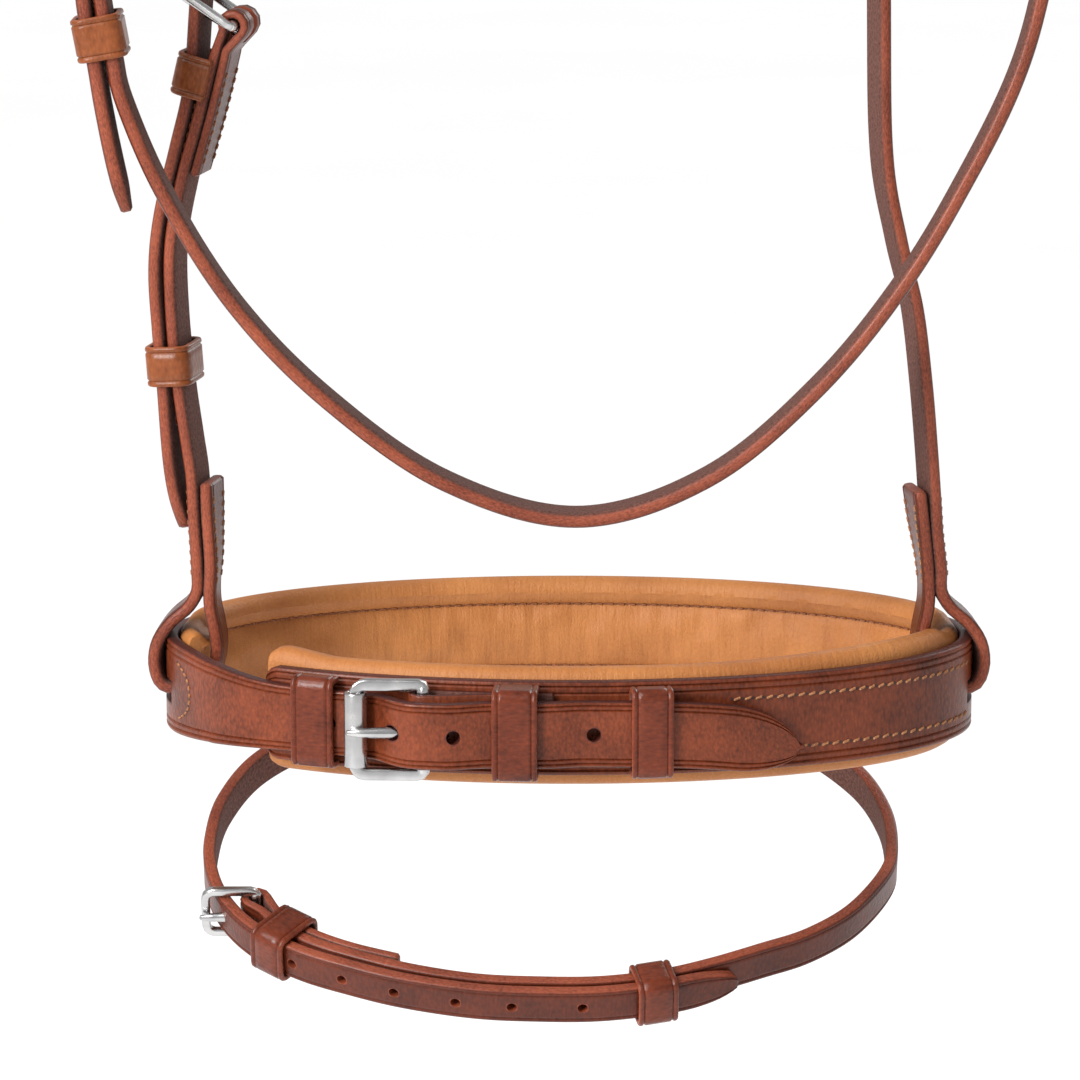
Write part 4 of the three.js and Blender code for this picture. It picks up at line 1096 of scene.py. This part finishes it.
def pad_section(place, closing):
    """The padding's section as (v, w) points, w outwards: over its top, down its inner face and back."""
    edge, radius = PAD_HEIGHT / 2, PAD_THICK / 2
    rim = [(edge - radius + radius * math.sin(math.pi * k / 8), radius * (math.cos(math.pi * k / 8) - 1))
           for k in range(9)]
    face = [edge - radius - (edge - radius - PAD_ROW) * k / 6 for k in range(1, 6)]
    heights = face + [PAD_ROW * (1 - k / 14) for k in range(29)] + [-v for v in reversed(face)]
    points = rim + [(v, -pad_depth(place, v)) for v in heights] + [(-v, w) for v, w in reversed(rim)]
    points += [(v, 0.0) for v in (-8, 0, 8)]
    nip = loop_nip(place)
    stand = 0.84 + 0.16 * closing
    return [(v * stand * ((1 - 0.12 * nip) * rise(place) if v > 0 else tuck(place)),
             w * (0.3 + 0.7 * closing) * (1 - 0.26 * nip if v > edge - radius else 1)) for v, w in points]


def noseband_padding():
    """Tan leather over foam: rolled along both edges, with two sewn rows and fine folds between them."""
    count = round((PAD_STOP - PAD_START) / 1.4)
    places = [PAD_START + (PAD_STOP - PAD_START) * k / count for k in range(count + 1)]
    vertices, sides, rings = [], [], []
    for place in places:
        left = min(1.0, (min(place - PAD_START, PAD_STOP - place) + 0.25) / PAD_END)
        closing = math.sqrt(max(0.0, 1 - (1 - left) ** 2))
        rings.append(pad_section(place, closing))
        for v, w in rings[-1]:
            point = ring_point(place, w - GAP)
            vertices.append(Vector((point.x, point.y, RING.z + v)))
            sides.append(1.0)
    faces, uvs = skin(places, girth(rings[count // 2]), rings[0], rings[-1])
    piece = add("noseband_pad", (vertices, faces, uvs, sides), TAN, ["noseband_padding"],
                "noseband", slot_cutters())

    spacing = round(PAD_END / 1.4)
    inside = places[spacing:-spacing]
    for name, v, squash in (("upper", PAD_ROW, rise), ("lower", -PAD_ROW, tuck)):
        line = [ring_point(place, -GAP - pad_depth(place, v)) for place in inside]
        lengths = running_lengths(line)
        face = Strap(line, 1.0, 0.0, level, grain=1)
        path = [(s, v * squash(place)) for s, place in zip(lengths, inside)]
        sew(f"padding_stitches_{name}", face, [path], BROWN_THREAD, "padding", "noseband", DIMPLE_SHADE,
            slant=0.15, radius=0.36, lift=0.25)


noseband_padding()


def noseband_chape():
    under = [ring_point(PERIMETER - 4 - 2 * k, 4.6) for k in range(16)]
    fold = [ring_point(HINGE_PLACE + p.x, p.y) for p in arc(0, HINGE_HEIGHT, 3, -90, -270, 12)]
    over = [ring_point(HINGE_PLACE + along, w) for along, w in
            ((5, 9.7), (7.5, 8.7), (10, 7.9), (12.5, 7.2), (15, 6.6), (20, 6.5), (27, 6.5))]
    strap = Strap(under + fold + over, 19.5, 1.6, level, grain=-1)
    add_strap("buckle_chape", "noseband_chape", sweep(strap, 1.5, rounding=0.5), "noseband",
              [block(ring_frame(HINGE_PLACE, HINGE_HEIGHT), -6, -2, -8, 7, 2, 8)], DARK_BROWN)


noseband_chape()
for number, name, offset, top, length, closed, wall, body in (
    (1, "noseband_keeper_1", -64, 7.7, 11.5, False, 1.8, "noseband"),
    (2, "noseband_keeper_2", -13.3, 11.7, 11.5, False, 1.8, "noseband"),
    (3, "noseband_keeper_running", 19.8, 9.8, 10.6, True, 1.6, "noseband_keeper"),
):
    keeper(f"chin_keeper_{number}", name, body, ring_frame(PERIMETER + offset, 0), 3.8, top, length, 10.1,
           wall, KEEPER_BROWN, closed=closed)
buckle("noseband", ring_frame(HINGE_PLACE, HINGE_HEIGHT), reach=17, rise=2.6, inner=20, rail=3.3, thick=2.6,
       bar=1.6, tongue_thick=2.2, roller=3.0)

# ---- flash strap ----
FLASH_HANG = joint_place("flash_swing")
FLASH_ROOT = Vector((0, RING.y + 64.5, -512.6))
FLASH_DOWN = Vector((0, -math.cos(FLASH_SLOPE), -math.sin(FLASH_SLOPE)))
FLASH_NORMAL = Vector((1, 0, 0)).cross(FLASH_DOWN)
FLASH_FAR = [
    (83.4, 83.4), (86, 72), (85, 55), (78, 36.5), (62, 18), (38, 5.5), (14, 0.4), (0, 0), (-14, 0.4),
    (-40, 4.5), (-66, 15.5), (-84, 31), (-93, 50), (-95.6, 68), (-94.6, 82), (-90.2, 95), (-82.2, 106.4),
    (-70, 115.8),
]
FLASH_NEAR = [(-57, 122), (-42, 127.6), (-24, 131.6), (-8, 132.8), (8, 132.6), (24, 129.8), (36, 125.8),
              (43, 122.6)]
FLASH_BAR = (-82.2, 94.6)
FLASH_INNER = [
    (-80.6, 99.6), (-75, 106.4), (-66.4, 112.8), (-55, 118.2), (-41, 123.6), (-24, 127.6), (-8, 128.8),
    (8, 128.6), (23.4, 125.8), (36, 121.4), (50, 115), (62, 109), (74, 98.6),
]
FLASH_CHAPE = [(-44, 119.2), (-56, 114.8), (-65.5, 109.8), (-72.6, 104.4), (-77.2, 98.6)]


def on_flash(x, y, across=0.0):
    return FLASH_ROOT + Vector((x, 0, 0)) + FLASH_DOWN * y + FLASH_NORMAL * across


FLASH_BUCKLE = local_frame(on_flash(*FLASH_BAR), (1, 0, 0), FLASH_DOWN)


def flash_strap():
    line, layers, _ = folded(spline(FLASH_CHAPE, 1.5), arc(*FLASH_BAR, 3, -10, -220, 14),
                             spline(FLASH_INNER + FLASH_FAR + FLASH_NEAR, 1.8), FLASH_THICK)
    lengths = running_lengths(line)
    strap = Strap(line, pointed(FLASH_WIDTH, lengths[-1], 15), layers, on_flash, grain=1)
    holes = [block(FLASH_BUCKLE, -5.2, -1.6, -5.2, 5.2, 1.6, 5.2)]
    near_run = range(int(len(line) * 0.8) + 1, len(line))
    for x in (-71.5, -57.5, -44.6, -30, -14, 2.5):
        nearest = min(near_run, key=lambda i: abs(line[i].x - x))
        holes.append(punch(strap, lengths[nearest], 1.35, 2.6 * FLASH_THICK, 16))
    body = sweep(strap, 1.8, creases=(1.3,), rounding=0.8)
    add_strap("flash_band", "flash_strap", body, "flash", holes)


def flash_frame(x, y, along):
    along = Vector((along[0], 0, 0)) + FLASH_DOWN * along[1]
    return local_frame(on_flash(x, y), along, FLASH_NORMAL.cross(along))


ON_FLASH = {"half_width": FLASH_WIDTH / 2 + GAP, "wall": 1.5, "material": KEEPER_BROWN, "corner": 2}
flash_strap()
keeper("flash_fixed_keeper", "flash_keeper_fixed", "flash", flash_frame(-75.2, 108.8, (0.79, 0.61)),
       bottom=-9.2, top=4.9, length=10.5, **ON_FLASH)
keeper("flash_running_keeper", "flash_keeper_running", "flash_keeper", flash_frame(21.5, 128.2, (10, -2.4)),
       bottom=-6, top=4.6, length=10.5, **ON_FLASH)
buckle("flash", FLASH_BUCKLE, **{**SMALL, "reach": 13.3, "inner": 11, "bar": 1.4})


def flash_hanger():
    """The tab sewn to the noseband over the nose, and the sleeve at its foot for the flash strap."""
    tab = Strap([(FLASH_HANG.y, -479), (FLASH_HANG.y, FLASH_HANG.z - 2.5)], 22, 2.2,
                lambda y, z, across: Vector((across, y, z)), grain=1)
    bend = ("noseband", "flash", FLASH_HANG + Vector((0, 0, 6)), FLASH_HANG + Vector((0, 0, -1.5)))
    add_strap("flash_tab_leather", "flash_tab", sweep(tab, 1.5, creases=(1.6,), rounding=0.7), bend)
    row = [(17, -8), (3, -8), (3, 8), (17, 8)]
    sew("flash_tab_stitches", tab, [row], TAN_THREAD, "bridle_leather", "noseband", pitch=2.7)

    half_u, half_v, r = FLASH_THICK / 2 + 1.35, FLASH_WIDTH / 2 + 1.25, 1.4
    ring = (arc(half_u - r, half_v - r, r, 0, 90, 4) + arc(r - half_u, half_v - r, r, 90, 180, 4)
            + arc(r - half_u, r - half_v, r, 180, 270, 4) + arc(half_u - r, r - half_v, r, 270, 360, 4))
    tilt = Matrix.Rotation(FLASH_SLOPE, 2)

    def lay(u, w, across):
        turned = tilt @ Vector((u, w))
        return Vector((across, FLASH_ROOT.y + turned.x, FLASH_ROOT.z + turned.y))
    sleeve = Strap(evenly(ring + ring[:1], 1.0)[:-1], 19, 1.7, lay, grain=-1, closed=True)
    body = sweep(sleeve, 1.0, rounding=0.6, creases=(1.4,))
    add_strap("flash_sleeve_leather", "flash_sleeve", body, "flash")


flash_hanger()


# ---- floor, light and camera ----
def floor():
    mesh = bpy.data.meshes.new("floor")
    low = cad_low.z - 0.35
    mesh.from_pydata([(-20, -20, low), (20, -20, low), (20, 20, low), (-20, 20, low)], [], [(0, 1, 2, 3)])
    stage = place_object("floor", mesh)
    shader = Shader("floor_paper")
    tooth = shader.noise(shader.place, 3.0, 2.0)
    shader.finish(Base_Color=shader.ramp(tooth, [(0.3, 0.95), (0.7, 0.97)]), Roughness=0.9)
    mesh.materials.append(shader.material)


def aim(holder, direction):
    """Turns a lamp or a camera to look that way."""
    holder.rotation_euler = direction.to_track_quat("-Z", "Y").to_euler()


def light(name, place, target, size, power):
    lamp = bpy.data.lights.new(name, "AREA")
    lamp.shape = "DISK"
    lamp.size = size
    lamp.energy = power
    holder = place_object(name, lamp)
    holder.location = place
    aim(holder, target - place)


def camera():
    """Looks along +Y and a little down, from as far off as a long lens stands."""
    down = math.radians(12)
    sight = Vector((0, math.cos(down), -math.sin(down)))
    right, up = Vector((1, 0, 0)), Vector((0, math.sin(down), math.cos(down)))
    distance, aside, above = 1.3, 0.007685, 0.036039
    lens = bpy.data.cameras.new("camera")
    lens.lens = 163.5
    holder = place_object("camera", lens)
    holder.location = in_metres(RING) - sight * distance - right * aside + up * above
    aim(holder, sight)
    lens.clip_start = 0.05
    bpy.context.scene.camera = holder


def studio():
    world = bpy.data.worlds.new("studio")
    bpy.context.scene.world = world
    world.use_nodes = True
    background = world.node_tree.nodes["Background"].inputs
    background["Color"].default_value = (1, 1, 1, 1)
    background["Strength"].default_value = 0.54
    middle = in_metres(RING)
    sun = bpy.data.lights.new("overhead_bank", "SUN")
    sun.energy = 2.2
    sun.angle = math.radians(40)
    aim(place_object("overhead_bank", sun), Vector((0.5, 0.42, -0.72)))
    light("key", middle + Vector((-0.75, -0.85, 0.45)), middle, 0.4, 12)
    light("rim", middle + Vector((0.6, 0.9, 0.6)), middle, 0.6, 4)
    bpy.context.scene.view_settings.view_transform = "Standard"


floor()
camera()
studio()
